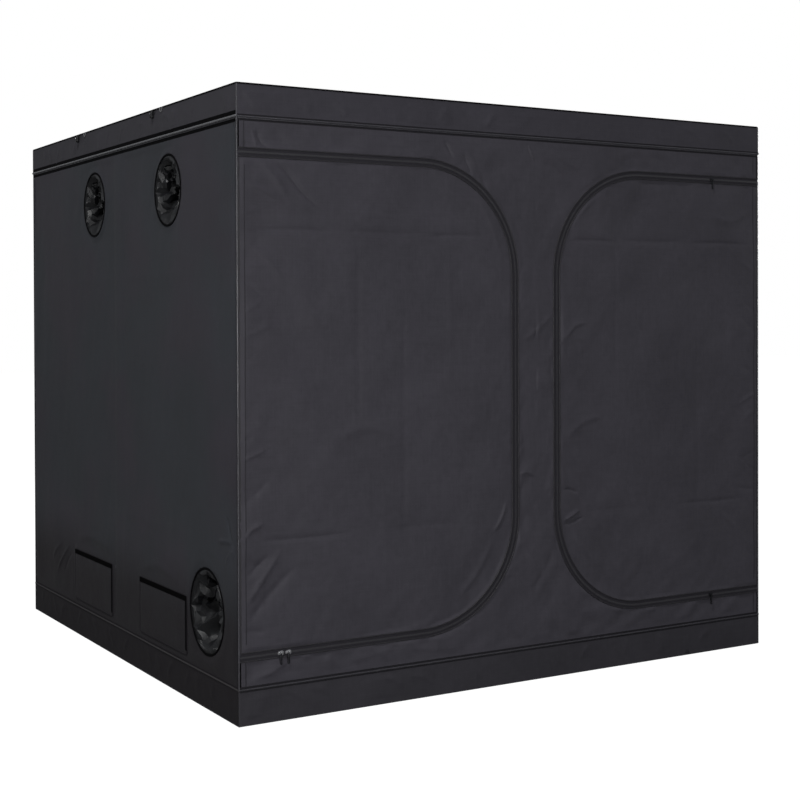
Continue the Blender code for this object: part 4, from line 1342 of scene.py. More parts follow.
class Slider:
    """A cast zip slider with its bridge, and the pull that swings on it."""

    def __init__(self, plan: SliderPlan) -> None:
        self.plan = plan

    def build(self) -> None:
        """Gives the CAD slider and its pull their metals, and logs where they stand."""
        plan = self.plan
        low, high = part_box(plan.name)
        middle = (low + high) / 2
        LOG.info("%s from %s to %s", plan.name, tuple(round(x, 4) for x in low), tuple(round(x, 4) for x in high))
        LOG.info("%s middle %s", plan.pull, tuple(round(x, 4) for x in (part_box(plan.pull)[0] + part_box(plan.pull)[1]) / 2))
        for node, finish in ((plan.name, plan.metal), (plan.pull, plan.pull_metal)):
            dress(frame["nodes"][node], finish, 35, 0.00025)


def dress(node: bpy.types.Object, finish: Finish, angle: float = 30, bevel: float = 0.0) -> None:
    """Gives a CAD node its finish, with its facets welded and its edges eased."""
    for polygon in node.data.polygons:
        polygon.use_smooth = True
    node.data.materials.clear()
    node.data.materials.append(finish.material())
    weld = node.modifiers.new("weld", "WELD")
    weld.merge_threshold = 0.00001
    if bevel:
        ease = node.modifiers.new("ease", "BEVEL")
        ease.width = bevel
        ease.segments = 2
        ease.limit_method = "ANGLE"
        ease.angle_limit = math.radians(35)
    tool = node.modifiers.new("edges", "EDGE_SPLIT")
    tool.split_angle = math.radians(angle)


# Side walls with ports and vents

@dataclass(frozen=True)
class PortPlan:
    """One round duct port: the wall that it is in, its middle there and its radius."""

    node: str
    facing: Facing
    centre: Point
    radius: float


LEFT_PORTS = (
    PortPlan("left_upper_front_sleeve", Facing.LEFT, (0.555, 1.88), 0.13),
    PortPlan("left_upper_back_sleeve", Facing.LEFT, (-0.30, 1.88), 0.13),
    PortPlan("left_lower_sleeve", Facing.LEFT, (0.92, 0.348), 0.15),
)
RIGHT_PORTS = (
    PortPlan("right_upper_front_sleeve", Facing.RIGHT, (-0.555, 1.88), 0.13),
    PortPlan("right_upper_back_sleeve", Facing.RIGHT, (0.30, 1.88), 0.13),
)
ROOF_PORTS = (
    PortPlan("roof_front_sleeve", Facing.ROOF, (-0.85, -0.433), 0.13),
    PortPlan("roof_back_sleeve", Facing.ROOF, (-0.85, 0.508), 0.13),
)
VENT_SIZE = (0.46, 0.185)
VENT_SILL = 0.172
VENTS = {"front": -0.485, "back": 0.335}


class Port:
    """A duct port: the bound rim on the wall and the sleeve drawn in through it."""

    cache: dict[tuple, np.ndarray] = {}

    def __init__(self, plan: PortPlan, distance: float) -> None:
        self.plan = plan
        self.distance = distance

    def sock(self, sides: int = SLEEVE_MESH[0], rings: int = SLEEVE_MESH[1]) -> tuple[np.ndarray, np.ndarray, list]:
        """Returns the sleeve as a straight sock, where its ends go, and its faces, about the port's middle."""
        radius = self.plan.radius - 0.0008
        start, goal = [], []
        rng = np.random.default_rng(7)
        jitter = rng.uniform(-1, 1, (rings, sides, 3)) * 0.0025
        for i in range(rings):
            share = i / (rings - 1)
            for j in range(sides):
                angle = math.tau * j / sides
                size = radius * (1 - 0.42 * share)
                point = np.array((size * math.cos(angle), size * math.sin(angle), -SLEEVE_LENGTH * share + 0.0004))
                if 0 < i < rings - 1:
                    point = point + jitter[i, j]
                start.append(point)
                if i == rings - 1:
                    turn = angle + 0.5
                    wide = 0.056 * (1 + 0.15 * math.cos(5 * angle))
                    point = np.array((wide * math.cos(turn) - 0.012, wide * math.sin(turn) + 0.064, -0.120))
                goal.append(point)
        faces = []
        for i in range(rings - 1):
            for j in range(sides):
                k = (j + 1) % sides
                faces.append((i * sides + j, (i + 1) * sides + j, (i + 1) * sides + k, i * sides + k))
        return np.array(start), np.array(goal), faces

    def fallen(self, down: Vector) -> np.ndarray:
        """Returns the places of the sleeve after it has been drawn in and has crumpled.

        Args:
            down: The way that things fall, in the port's own directions.
        """
        start, goal, faces = self.sock()
        mesh = bpy.data.meshes.new("sock")
        mesh.from_pydata(start.tolist(), [], faces)
        sock = bpy.data.objects.new("sock", mesh)
        scene = bpy.context.scene
        scene.collection.objects.link(sock)
        sock.shape_key_add(name="rest")
        key = sock.shape_key_add(name="drawn")
        key.data.foreach_set("co", goal.ravel())
        sides = SLEEVE_MESH[0]
        group = sock.vertex_groups.new(name="held")
        group.add(list(range(sides)) + list(range(len(start) - sides, len(start))), 1.0, "ADD")
        cloth = sock.modifiers.new("cloth", "CLOTH")
        settings = cloth.settings
        settings.vertex_group_mass = "held"
        settings.quality = 5
        settings.mass = 0.12
        settings.tension_stiffness = 30
        settings.compression_stiffness = 30
        settings.shear_stiffness = 12
        settings.bending_stiffness = 1.5
        settings.air_damping = 2.0
        settings.effector_weights.gravity = 0.6
        cloth.collision_settings.use_self_collision = True
        cloth.collision_settings.self_distance_min = 0.004
        cloth.collision_settings.collision_quality = 2
        limit = self.limit()
        scene.gravity = tuple(down * 9.81)
        frames = 46
        cloth.point_cache.frame_start = 1
        cloth.point_cache.frame_end = frames
        for step, share in ((1, 0.0), (32, 1.0)):
            key.value = share
            key.keyframe_insert("value", frame=step)
        for step in range(1, frames + 1):
            scene.frame_set(step)
        graph = bpy.context.evaluated_depsgraph_get()
        result = sock.evaluated_get(graph).to_mesh()
        places = np.array([tuple(vertex.co) for vertex in result.vertices])
        scene.frame_set(1)
        scene.gravity = (0, 0, -9.81)
        for block in (mesh.shape_keys.animation_data.action, limit, sock):
            bpy.data.batch_remove([block])
        return places

    def limit(self) -> bpy.types.Object:
        """Returns the drum that the sleeve's folds stay in while they fall."""
        shape = Shape()
        deep, wide = -SLEEVE_DEPTH, self.plan.radius + 0.012
        outline = [(0.0, deep - 0.03), (wide + 0.03, deep - 0.03), (wide + 0.03, 0.02), (wide, 0.02),
                   (wide, deep), (0.0, deep)]
        shape.turned(outline, Matrix.Identity(4), 48)
        drum = shape.done("limit", SLEEVE)
        drum.modifiers.new("stop", "COLLISION")
        drum.collision.thickness_outer = 0.002
        drum.collision.cloth_friction = 2.0
        return drum

    def sleeve(self) -> bpy.types.Object:
        """Builds the sleeve."""
        plan = self.plan
        matrix = plan.facing.matrix(self.distance)
        start, goal, faces = self.sock()
        down = matrix.to_3x3().inverted() @ Vector((0, 0, -1))
        kind = (round(plan.radius, 3), tuple(round(x) for x in down))
        if kind not in Port.cache:
            Port.cache[kind] = self.fallen(down)
            LOG.info("%s: sleeve has crumpled", plan.node)
        places = Port.cache[kind].copy()
        places[:, 2] = np.clip(places[:, 2], -0.148, 0.0005)
        away = np.hypot(places[:, 0], places[:, 1])
        most = plan.radius + 0.012
        places[:, :2] *= np.where(away > most, most / np.maximum(away, 1e-9), 1.0)[:, None]
        mesh = bpy.data.meshes.new(plan.node)
        mesh.from_pydata(places.tolist(), [], [face[::-1] for face in faces])
        mesh.transform(matrix @ Matrix.Translation((*plan.centre, 0)))
        crumple = bmesh.new()
        crumple.from_mesh(mesh)
        bmesh.ops.triangulate(crumple, faces=crumple.faces)
        crumple.to_mesh(mesh)
        crumple.free()
        piece = finished(f"{plan.node}_cloth", mesh, (SLEEVE,), 24)
        solid = piece.modifiers.new("thickness", "SOLIDIFY")
        solid.thickness = 0.0006
        solid.offset = -1
        return applied(piece)

    def build(self) -> bpy.types.Object:
        """Builds the rim and the sleeve, and returns the rim."""
        plan = self.plan
        shape = Shape()
        ring = Route.ring(plan.centre, plan.radius)
        shape.strip(plan.facing, self.distance, ring, ridge_profile(0.0005, -0.0080, 0.0026), 0)
        shape.strip(plan.facing, self.distance, ring, [(-0.0005, -0.004), (0.0008, -0.004), (0.0012, 0.0006),
                                                     (-0.0005, 0.0012)], 0)
        rim = place_on(shape.done(f"{plan.node}_rim", EDGE), "tent", "black_cloth")
        sleeve = place_on(self.sleeve(), "tent", "sleeve_cloth", plan.node)
        return rim


class Vent:
    """A low vent: the flap over its window, hung from the hook tape along its top."""

    def __init__(self, facing: Facing, end: str) -> None:
        self.facing = facing
        self.end = end

    @property
    def word(self) -> str:
        """The side's name."""
        return self.facing.name.lower()

    @property
    def middle(self) -> float:
        """The window's middle across the wall."""
        sign = -1 if self.facing is Facing.LEFT else 1
        return sign * VENTS[self.end]

    def window(self, margin: float = 0.0, corner: float = 0.012) -> Route:
        """Returns the window's edge, or a line outside it by a margin."""
        half = VENT_SIZE[0] / 2 + margin
        return Route.box((self.middle - half, VENT_SILL - margin),
                         (self.middle + half, VENT_SILL + VENT_SIZE[1] + margin), corner)

    def build(self) -> None:
        """Builds the flap."""
        outer = self.window(0.02, 0.02)
        seed = 70 + len(self.end) + (9 if self.facing is Facing.LEFT else 0)
        relief = Relief([drape(0.3, 0.16, 0.0016, seed, 20), drape(0.09, 0.05, 0.0005, seed + 1)],
                        [calm(outer, 0.004, 0.03)])
        relief.terms.append(lambda u, v: np.full(u.shape, 0.0012))
        flap = Panel(f"{self.word}_{self.end}_vent_flap_cloth", self.facing, 1.2, outer, (), 0.006, relief,
                     SHADED_SIDE_COVER, LINING).build()
        body = f"{self.word}_{self.end}_flap_body"
        place_on(flap, body, "black_cloth", f"{self.word}_{self.end}_vent_flap")
        shape = Shape()
        edge = self.window(0.0165, 0.018).dense(0.02)
        shape.strip(self.facing, 1.2, edge, ridge_profile(-0.0032, 0.0032, 0.0011), 0)
        head = VENT_SILL + VENT_SIZE[1] + 0.013
        half = VENT_SIZE[0] / 2 + 0.016
        line = Route(((self.middle - half, head), (self.middle + half, head))).dense(0.02)
        shape.strip(self.facing, 1.2, line, tape_profile(-0.0165, 0.0030, 0.0008, 0.0021), 1)
        # painted shadow: a strip of the near-black hook tape down the flap's right edge only, standing in for the
        # shadow along that edge
        side = Route(((self.middle + half - 0.006, VENT_SILL), (self.middle + half - 0.006, head))).dense(0.02)
        shape.strip(self.facing, 1.2, side, tape_profile(-0.0065, 0.0065, 0.0006, 0.0020), 1)
        trim = place_on(shape.done(f"{self.word}_{self.end}_vent_flap_tape", FLAP_HEM_AND_PAINTED_SHADE, HOOK_TAPE), body, "black_cloth")


class SideWall:
    """One side wall with its ports, vents and net."""

    def __init__(self, facing: Facing, ports: Sequence[PortPlan], seed: int) -> None:
        self.facing = facing
        self.ports = ports
        self.seed = seed
        self.vents = [Vent(facing, end) for end in VENTS]

    def relief(self) -> Relief:
        """Returns the wall's folds."""
        seed = self.seed
        near = 1 if self.facing is Facing.LEFT else -1
        terms = [
            drape(1.4, 0.5, 0.006, seed, 4),
            drape(0.6, 0.14, 0.0022, seed + 1, 8),
            drape(0.25, 0.06, 0.0007, seed + 2, -14),
            drape(0.05, 0.04, 0.0003, seed + 3),
            crease((near * -1.15, 1.55), (near * 1.15, 1.56), 0.014, 0.0008, 0.3),
            crease((near * -1.15, 0.60), (near * 1.15, 0.605), 0.014, 0.0009, 0.3),
            crease((near * 0.02, 2.04), (near * 0.0, 0.2), 0.013, 0.0009, 0.3),
            Fold(((near * -0.86, 0.22), (near * -0.78, 0.30), (near * -0.67, 0.38)), 0.010, 0.0036, 0.8),
            Fold(((near * -0.92, 0.27), (near * -0.86, 0.33), (near * -0.78, 0.37)), 0.010, 0.0026, 0.8),
            Fold(((near * -0.76, 0.24), (near * -0.70, 0.31), (near * -0.63, 0.35)), 0.009, -0.0024, 0.8),
            Fold(((near * -0.60, 0.41), (near * -0.35, 0.45), (near * -0.05, 0.42)), 0.018, 0.0034),
            Fold(((near * 0.22, 0.40), (near * 0.45, 0.44), (near * 0.66, 0.40)), 0.018, 0.0030),
            Fold(((near * 1.165, 0.617), (near * 1.10, 0.625), (near * 1.02, 0.615)), 0.010, 0.0034, 0.7),
            Fold(((near * 1.165, 0.612), (near * 1.12, 0.575), (near * 1.09, 0.53)), 0.010, 0.0032, 0.7),
            Fold(((near * 1.165, 0.622), (near * 1.13, 0.67), (near * 1.11, 0.72)), 0.010, -0.0030, 0.7),
            fan((near * 1.17, 0.617), 16, 0.09, 0.0042, seed + 5),
            fan((near * -1.17, 1.2), 9, 0.10, 0.004, seed + 6),
        ]
        masks = seam_masks()
        for port in self.ports:
            ring = Route.ring(port.centre, port.radius, 48)
            terms.append(puckers(ring, 0.045, 0.045, 0.0038, seed + 7, slant=0.2))
            masks.append(calm(ring, 0.0125, 0.03))
        for vent in self.vents:
            masks.append(calm(vent.window(0.004), 0.018, 0.045))
            masks.append(lambda u, v, loop=vent.window(0.02, 0.02): 1.0 - within([loop], u, v))
        return Relief(terms, masks, [Route(((0, 0), (0, TOP)))])

    def build(self) -> None:
        """Builds the wall, its ports, its vents and its net."""
        word = self.facing.name.lower()
        rings = [Route.ring(port.centre, port.radius) for port in self.ports]
        holes = rings + [vent.window() for vent in self.vents]
        outline = Route.box((-WALL, WALL_FOOT), (WALL, WALL_HEAD))
        wall = Panel(f"{word}_wall_cloth", self.facing, WALL, outline, holes, 0.0125, self.relief(),
                     SHADED_SIDE_COVER, LINING).build()
        place_on(wall, "tent", "black_cloth", f"{word}_wall")
        rims = [Port(port, WALL).build() for port in self.ports]
        area = 2.397 * 2.197 - sum(math.pi * port.radius**2 for port in self.ports) - 2 * 0.46 * 0.185
        for vent in self.vents:
            vent.build()
        self.net()

    def net(self) -> None:
        """Builds the insect net behind both windows, strand by strand."""
        word = self.facing.name.lower()
        middles = [vent.middle for vent in self.vents]
        low = (min(middles) - VENT_SIZE[0] / 2 - 0.016, VENT_SILL - 0.016)
        high = (max(middles) + VENT_SIZE[0] / 2 + 0.016, VENT_SILL + VENT_SIZE[1] + 0.016)
        pitch = 0.0016
        matrix = self.facing.matrix(WALL - CLOTH - 0.0007)
        half = 0.0002
        boxes = []
        for axis in (0, 1):
            for place in np.arange(low[axis] + pitch, high[axis] - pitch / 2, pitch):
                corners = []
                for out in (-half, half):
                    for s, t in ((0, -half), (1, -half), (1, half), (0, half)):
                        point = [0.0, 0.0]
                        point[axis] = place + (t if axis else -t)
                        point[1 - axis] = (low, high)[s][1 - axis]
                        if axis:
                            point[axis] = place + t
                        corners.append(matrix @ Vector((*point, out + (half if axis else -half) * 0.5)))
                if not axis:
                    corners = corners[:4] + corners[4:]
                boxes.append(corners)
        shape = Shape()
        shape.boxes(boxes, 0)
        rim = Route.box((low[0] + 0.005, low[1] + 0.005), (high[0] - 0.005, high[1] - 0.005), 0.01).dense(0.03)
        shape.strip(self.facing, WALL - CLOTH - 0.0011, rim, tape_profile(-0.006, 0.006, 0.0, 0.0008), 1)
        bmesh.ops.recalc_face_normals(shape.bm, faces=shape.bm.faces)
        net = place_on(shape.done(f"{word}_vent_net_yarn", NET, BINDING), "tent", "black_net", f"{word}_vent_net")
        round(high[0] - low[0], 3)
        round(high[1] - low[1], 3)


class BackWall:
    """The plain back wall."""

    def build(self) -> None:
        """Builds the wall."""
        outline = Route.box((-WALL, WALL_FOOT), (WALL, WALL_HEAD))
        terms = [drape(1.4, 0.5, 0.007, 51, 5), drape(0.6, 0.14, 0.0026, 52, -10), drape(0.25, 0.06, 0.0008, 53, 30),
                 drape(0.05, 0.04, 0.0003, 54), fan((1.15, 2.03), 14, 0.14, 0.008, 55), fan((-1.15, 2.03), 14, 0.14, 0.008, 56),
                 fan((-1.15, 0.16), 14, 0.14, 0.007, 57), fan((1.15, 0.16), 14, 0.14, 0.007, 58)]
        terms += [crease((-1.15, z), (1.15, z), 0.006, h, 0.7) for z, h in ((1.66, 0.0009), (1.12, -0.0009), (0.58, 0.0009))]
        terms += [crease((u, 2.05), (u, 0.15), 0.006, h, 0.8) for u, h in ((-0.6, 0.0008), (0.0, 0.0010), (0.6, -0.0008))]
        relief = Relief(terms, seam_masks(), [Route(((0, 0), (0, TOP)))])
        wall = Panel("back_wall_cloth", Facing.BACK, WALL, outline, (), 0.0145, relief, WALL_CLOTH, LINING).build()
        place_on(wall, "tent", "black_cloth", "back_wall")


# Roof, floor and edges

def square(half: float, corner: float = 0.006) -> Route:
    """Returns a square loop about the tent's middle."""
    return Route.box((-half, -half), (half, half), corner, 6)


BAND_FOLDS = ((-1.185, 0.80, 0.050, 0.15), (-0.98, 0.62, 0.060, 0.20), (-0.842, 0.62, 0.070, 0.18),
              (-0.673, 0.80, 0.055, 0.20), (-0.473, 0.92, -0.095, 0.25), (-0.344, 0.85, -0.050, 0.22),
              (-0.134, 0.70, -0.055, 0.20), (0.16, 0.90, 0.080, 0.18), (0.455, 0.80, 0.110, 0.18),
              (0.768, 0.80, 0.115, 0.16), (-1.07, 0.90, 0.070, 0.40), (0.98, 0.75, 0.080, 0.25))


def band(name: str, foot: float, head: float, out: float, finishes: Sequence[Finish], seed: int,
         height: float) -> list[bpy.types.Object]:
    """Returns four upright strips of cloth round the tent, the front in the first finish."""
    strips = []
    for number, facing in enumerate(SIDES):
        outline = Route.box((-abs(out), foot), (abs(out), head))
        edge = min(0.02, (head - foot) / 5)
        rng = np.random.default_rng(seed + number)
        places = BAND_FOLDS if facing is Facing.FRONT and foot else [
            (u + rng.uniform(-0.08, 0.08), rng.uniform(0.7, 0.95), rng.uniform(-0.12, 0.14), rng.uniform(0.15, 0.4))
            for u in np.arange(-1.1, 1.15, 0.19)]
        drags = []
        for u, start, tilt, end in places:
            top, low = foot + start * (head - foot), foot + end * (head - foot)
            bend = (u + tilt * 0.62, (top + low) / 2 + 0.01)
            drags.append(Fold(((u, top), bend, (u + tilt, low)), rng.uniform(0.010, 0.017),
                              height * rng.uniform(0.7, 1.15)))
        relief = Relief(
            [drape(0.16, 0.045, height * 0.7, seed + number, 18), drape(0.30, 0.09, height, seed + 4 + number, -32),
             drape(0.04, 0.03, height * 0.2, seed + 8 + number), *drags],
            [calm(outline, 0.0165, 0.0165 + edge)], proud=True)
        strips.append(Panel(f"{name}_{facing.name.lower()}", facing, out, outline, (), 0.0075, relief,
                            finishes[bool(number)], LINING).build())
    return strips


class Roof:
    """The roof: its sagging top with two ports, the turned-down band and the welts."""

    def build(self) -> None:
        """Builds the roof cap and its trims."""
        holes = [Route.ring(port.centre, port.radius) for port in ROOF_PORTS]
        outline = Route.box((-HALF, -HALF), (HALF, HALF))

        def sag(u: np.ndarray, v: np.ndarray) -> np.ndarray:
            x = np.clip(np.abs(u) / RAIL, 0, 1)
            y = np.clip(np.abs(np.abs(v) - RAIL / 2) / (RAIL / 2), 0, 1)
            return -0.011 * (1 - x**2.6) * (1 - y**2.4)

        terms = [sag, drape(0.9, 0.3, 0.0022, 61, 30), drape(0.4, 0.12, 0.0011, 62, -25), drape(0.05, 0.04, 0.0003, 63)]
        terms += [crease((-1.1, y), (1.1, y), 0.006, 0.0008, 0.7) for y in (-0.6, 0.58)]
        terms += [crease((x, -1.1), (x, 1.1), 0.006, 0.0008, 0.7) for x in (-0.3, 0.31)]
        masks = [calm(outline, 0.01, 0.05)]
        bars = [Route(((-RAIL, 0), (RAIL, 0))), Route(((-0.4, -RAIL), (-0.4, RAIL))), Route(((0.4, -RAIL), (0.4, RAIL)))]
        for hole in holes:
            masks.append(calm(hole, 0.012, 0.05))
        top = Panel("roof_top", Facing.ROOF, TOP, outline, holes, 0.0180,
                    Relief(terms, masks, bars[:1]), BAND_CLOTH, LINING).build()
        roof = joined("roof_cloth", [top, *band("roof_band", BAND_FOOT, TOP, HALF, (BAND_CLOTH, BAND_CLOTH), 81, 0.0024)])
        place_on(roof, "tent", "black_cloth", "roof_cap")
        shape = Shape()
        shape.strip(Facing.ROOF, TOP - 0.0012, square(HALF - 0.0008).dense(0.05), round_profile(0.0030), 1)
        for facing in SIDES:
            front = facing is Facing.FRONT
            line = Route(((HALF - 0.001, BAND_FOOT + 0.002), (HALF - 0.001, TOP - 0.003)))
            shape.strip(facing, HALF - 0.0012, line, round_profile(0.0026), 0)
            # painted highlight: off the front the piping is bigger and gets the lighter glossy piping colour, which
            # paints its highlight
            thick, trim = (0.0028, 0) if front else (0.0044, 3)
            for level, out, radius in ((BAND_FOOT + thick, HALF + 0.0006, thick), (BAND_FOOT - 0.0026, WALL, 0.0018)):
                run = Route(((-out, level), (out, level))).dense(0.05)
                shape.strip(facing, out, run, round_profile(radius), trim if out > WALL else 0)
            # painted shade: dark strips just below and above the band's piping stand in for the shade in the seam, in
            # the seam shade colour on the front and the near-black binding colour on the other faces
            widths = (0.0034, 0.0026) if front else (0.0058, 0.0072)
            for level, out, half in ((BAND_FOOT - 0.0046 - widths[0], WALL, widths[0]),
                                     (BAND_FOOT + 2 * thick + widths[1], HALF, widths[1])):
                low = Route(((-out + 0.002, level), (out - 0.002, level))).dense(0.05)
                shape.strip(facing, out, low, tape_profile(-half, half, 0.0, 0.0007), 2 if front else 1)
        welts = place_on(shape.done("roof_welts", PIPING, EDGE, SHADE, PIPING_PAINTED_HIGHLIGHT), "tent", "black_cloth")
        rims = [Port(port, TOP).build() for port in ROOF_PORTS]


class Floor:
    """The floor piece with its turned-up band, and the spill tray that lies in the tent."""

    def build(self) -> None:
        """Builds the floor piece, its welts and the tray."""
        outline = Route.box((-HALF, -HALF), (HALF, HALF))
        base = Panel("floor_bottom", Facing.ROOF, CLOTH, outline, (), 0.03, Relief(), BAND_CLOTH, LINING).build()
        # painted shade: the front of the floor band gets the foot cloth and the other faces its much darker copy
        floor = joined("floor_cloth", [base, *band("floor_band", 0.0, FLOOR_BAND, HALF, (FOOT_CLOTH, SHADED_FOOT), 101, 0.0018)])
        place_on(floor, "tent", "black_cloth", "floor_base")
        shape = Shape()
        wave = drape(0.5, 0.09, 0.0012, 112, 90)
        for facing in SIDES:
            line = Route(((-HALF, FLOOR_BAND - 0.002), (HALF, FLOOR_BAND - 0.002))).dense(0.03)
            # painted highlight: off the front the piping gets the lighter binding colour, which paints its highlight
            shape.strip(facing, HALF, line, round_profile(0.0028, 0.0, 0.0002), 0 if facing is Facing.FRONT else 3, wave)
            front = facing is Facing.FRONT
            # painted shade: dark strips just above and below the floor band's piping stand in for the shade in the
            # seam, in the seam shade colour on the front and the flap hem colour on the other faces
            for level, out, half in ((FLOOR_BAND + 0.0050, WALL, 0.0036), (FLOOR_BAND - 0.0080, HALF, 0.0026)):
                low = Route(((-out + 0.002, level), (out - 0.002, level))).dense(0.05)
                shape.strip(facing, out, low, tape_profile(-half, half, 0.0, 0.0008), 2 if front else 1)
            corner = Route(((HALF - 0.001, 0.003), (HALF - 0.001, FLOOR_BAND - 0.002)))
            shape.strip(facing, HALF - 0.0012, corner, round_profile(0.0020), 0)
        shape.strip(Facing.ROOF, 0.0022, square(HALF - 0.0006).dense(0.05), round_profile(0.0021), 0)
        welts = place_on(shape.done("floor_welts", BINDING, FLAP_HEM_AND_PAINTED_SHADE, SHADE, BINDING_PAINTED_HIGHLIGHT), "tent", "black_cloth")
        self.tray()

    def tray(self) -> None:
        """Builds the tray."""
        low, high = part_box("spill_tray")
        LOG.info("tray from %s to %s", tuple(low), tuple(high))
        half, level = high.x, low.z + CLOTH
        outline = Route.box((-half, -half), (half, half))
        relief = Relief([drape(0.7, 0.25, 0.0006, 121, 30), drape(0.2, 0.08, 0.0003, 122, -40),
                         lambda u, v: np.full(u.shape, 0.0009)], [calm(outline, 0.01, 0.06)])
        parts = [Panel("tray_bottom", Facing.ROOF, level, outline, (), 0.016, relief, LINING, BAND_CLOTH).build()]
        for facing in SIDES:
            side = Route.box((-half, low.z), (half, high.z))
            parts.append(Panel(f"tray_{facing.name}", facing, -(half - CLOTH), side, (), 0.016,
                               Relief([drape(0.2, 0.07, 0.0008, 123, 20)], [calm(side, 0.002, 0.03)]),
                               LINING, BAND_CLOTH).build())
        tray = place_on(joined("spill_tray_sheet", parts), "tent", "silver_sheet", "spill_tray")


class Corners:
    """The welts up the four vertical corners, where the doors hinge in front."""

    def build(self) -> None:
        """Builds the welts, the painted shade lines beside them and the stitched seams."""
        shape = Shape()
        for facing in SIDES:
            line = Route(((WALL - 0.0006, FLOOR_BAND), (WALL - 0.0006, BAND_FOOT))).dense(0.1)
            shape.strip(facing, WALL - 0.0004, line, round_profile(0.0030), 0)
            for side in (-1, 1):
                # painted shade: the dark line just beside each welt stands in for the shade of the groove there; the
                # line further out is the stitched seam
                for away, half, finish in ((0.0055, 0.0028, 1), (0.0260, 0.0020, 2)):
                    place = side * (WALL - away)
                    spans = [(FLOOR_BAND, BAND_FOOT)]
                    if facing is Facing.FRONT:
                        spans = [(FLOOR_BAND, SILL - 0.018), (HEAD + 0.018, BAND_FOOT)]
                    for low, high in spans:
                        seam = Route(((place, low), (place, high))).dense(0.1)
                        shape.strip(facing, WALL, seam, tape_profile(-half, half, -0.0004, 0.0006), finish)
        place_on(shape.done("corner_welts", PIPING, EDGE, SEAM), "tent", "black_cloth")


class CordLock:
    """A cord lock that hangs at the roof's edge from the drawcord of a roof port."""

    def __init__(self, end: str, depth: float) -> None:
        self.end = end
        self.across = -depth

    def build(self) -> None:
        """Builds the lock, its button and the two sewn bits of cord."""
        shape = Shape()
        facing, u, v = Facing.LEFT, self.across, 2.1795
        matrix = facing.matrix(HALF + 0.0082)
        up = Matrix.Rotation(math.radians(-90), 4, "X")
        tilt = Matrix.Rotation(math.radians(12), 4, "Z")
        barrel = [(0, -0.0125), (0.0052, -0.0125), (0.0072, -0.0108), (0.0076, -0.004), (0.0070, 0.0),
                  (0.0076, 0.004), (0.0070, 0.0095), (0.0050, 0.0112), (0, 0.0112)]
        place = matrix @ Matrix.Translation((u, v, 0)) @ tilt @ up
        shape.turned(barrel, place, 20, 0)
        shape.turned([(0, 0.0112), (0.0036, 0.0112), (0.0040, 0.0150), (0.0032, 0.0166), (0, 0.0170)], place, 18, 0)
        shape.turned([(0, 0.0066), (0.0030, 0.0066), (0.0033, 0.0078), (0.0022, 0.0088), (0, 0.0090)],
                     matrix @ Matrix.Translation((u + 0.0015, v + 0.0035, 0)), 16, 1)
        cord = Route(((u - 0.002, v - 0.016), (u - 0.001, v + 0.004), (u + 0.010, v + 0.012), (u + 0.028, v + 0.0195)))
        shape.strip(facing, HALF + 0.0040, cord, round_profile(0.0019, 0, 0.0, 8), 2)
        bit = Route(((u + 0.070, v + 0.019), (u + 0.076, v + 0.006), (u + 0.084, v + 0.002), (u + 0.092, v + 0.008),
                     (u + 0.096, v + 0.019)))
        shape.strip(facing, HALF + 0.0022, bit, round_profile(0.0017, 0, 0.0, 8), 3)
        place_on(shape.done(f"{self.end}_cord_lock", MOULDING, STEEL, CORD, PALE_CORD, angle=50), "tent", "black_moulding")


# Tube frame

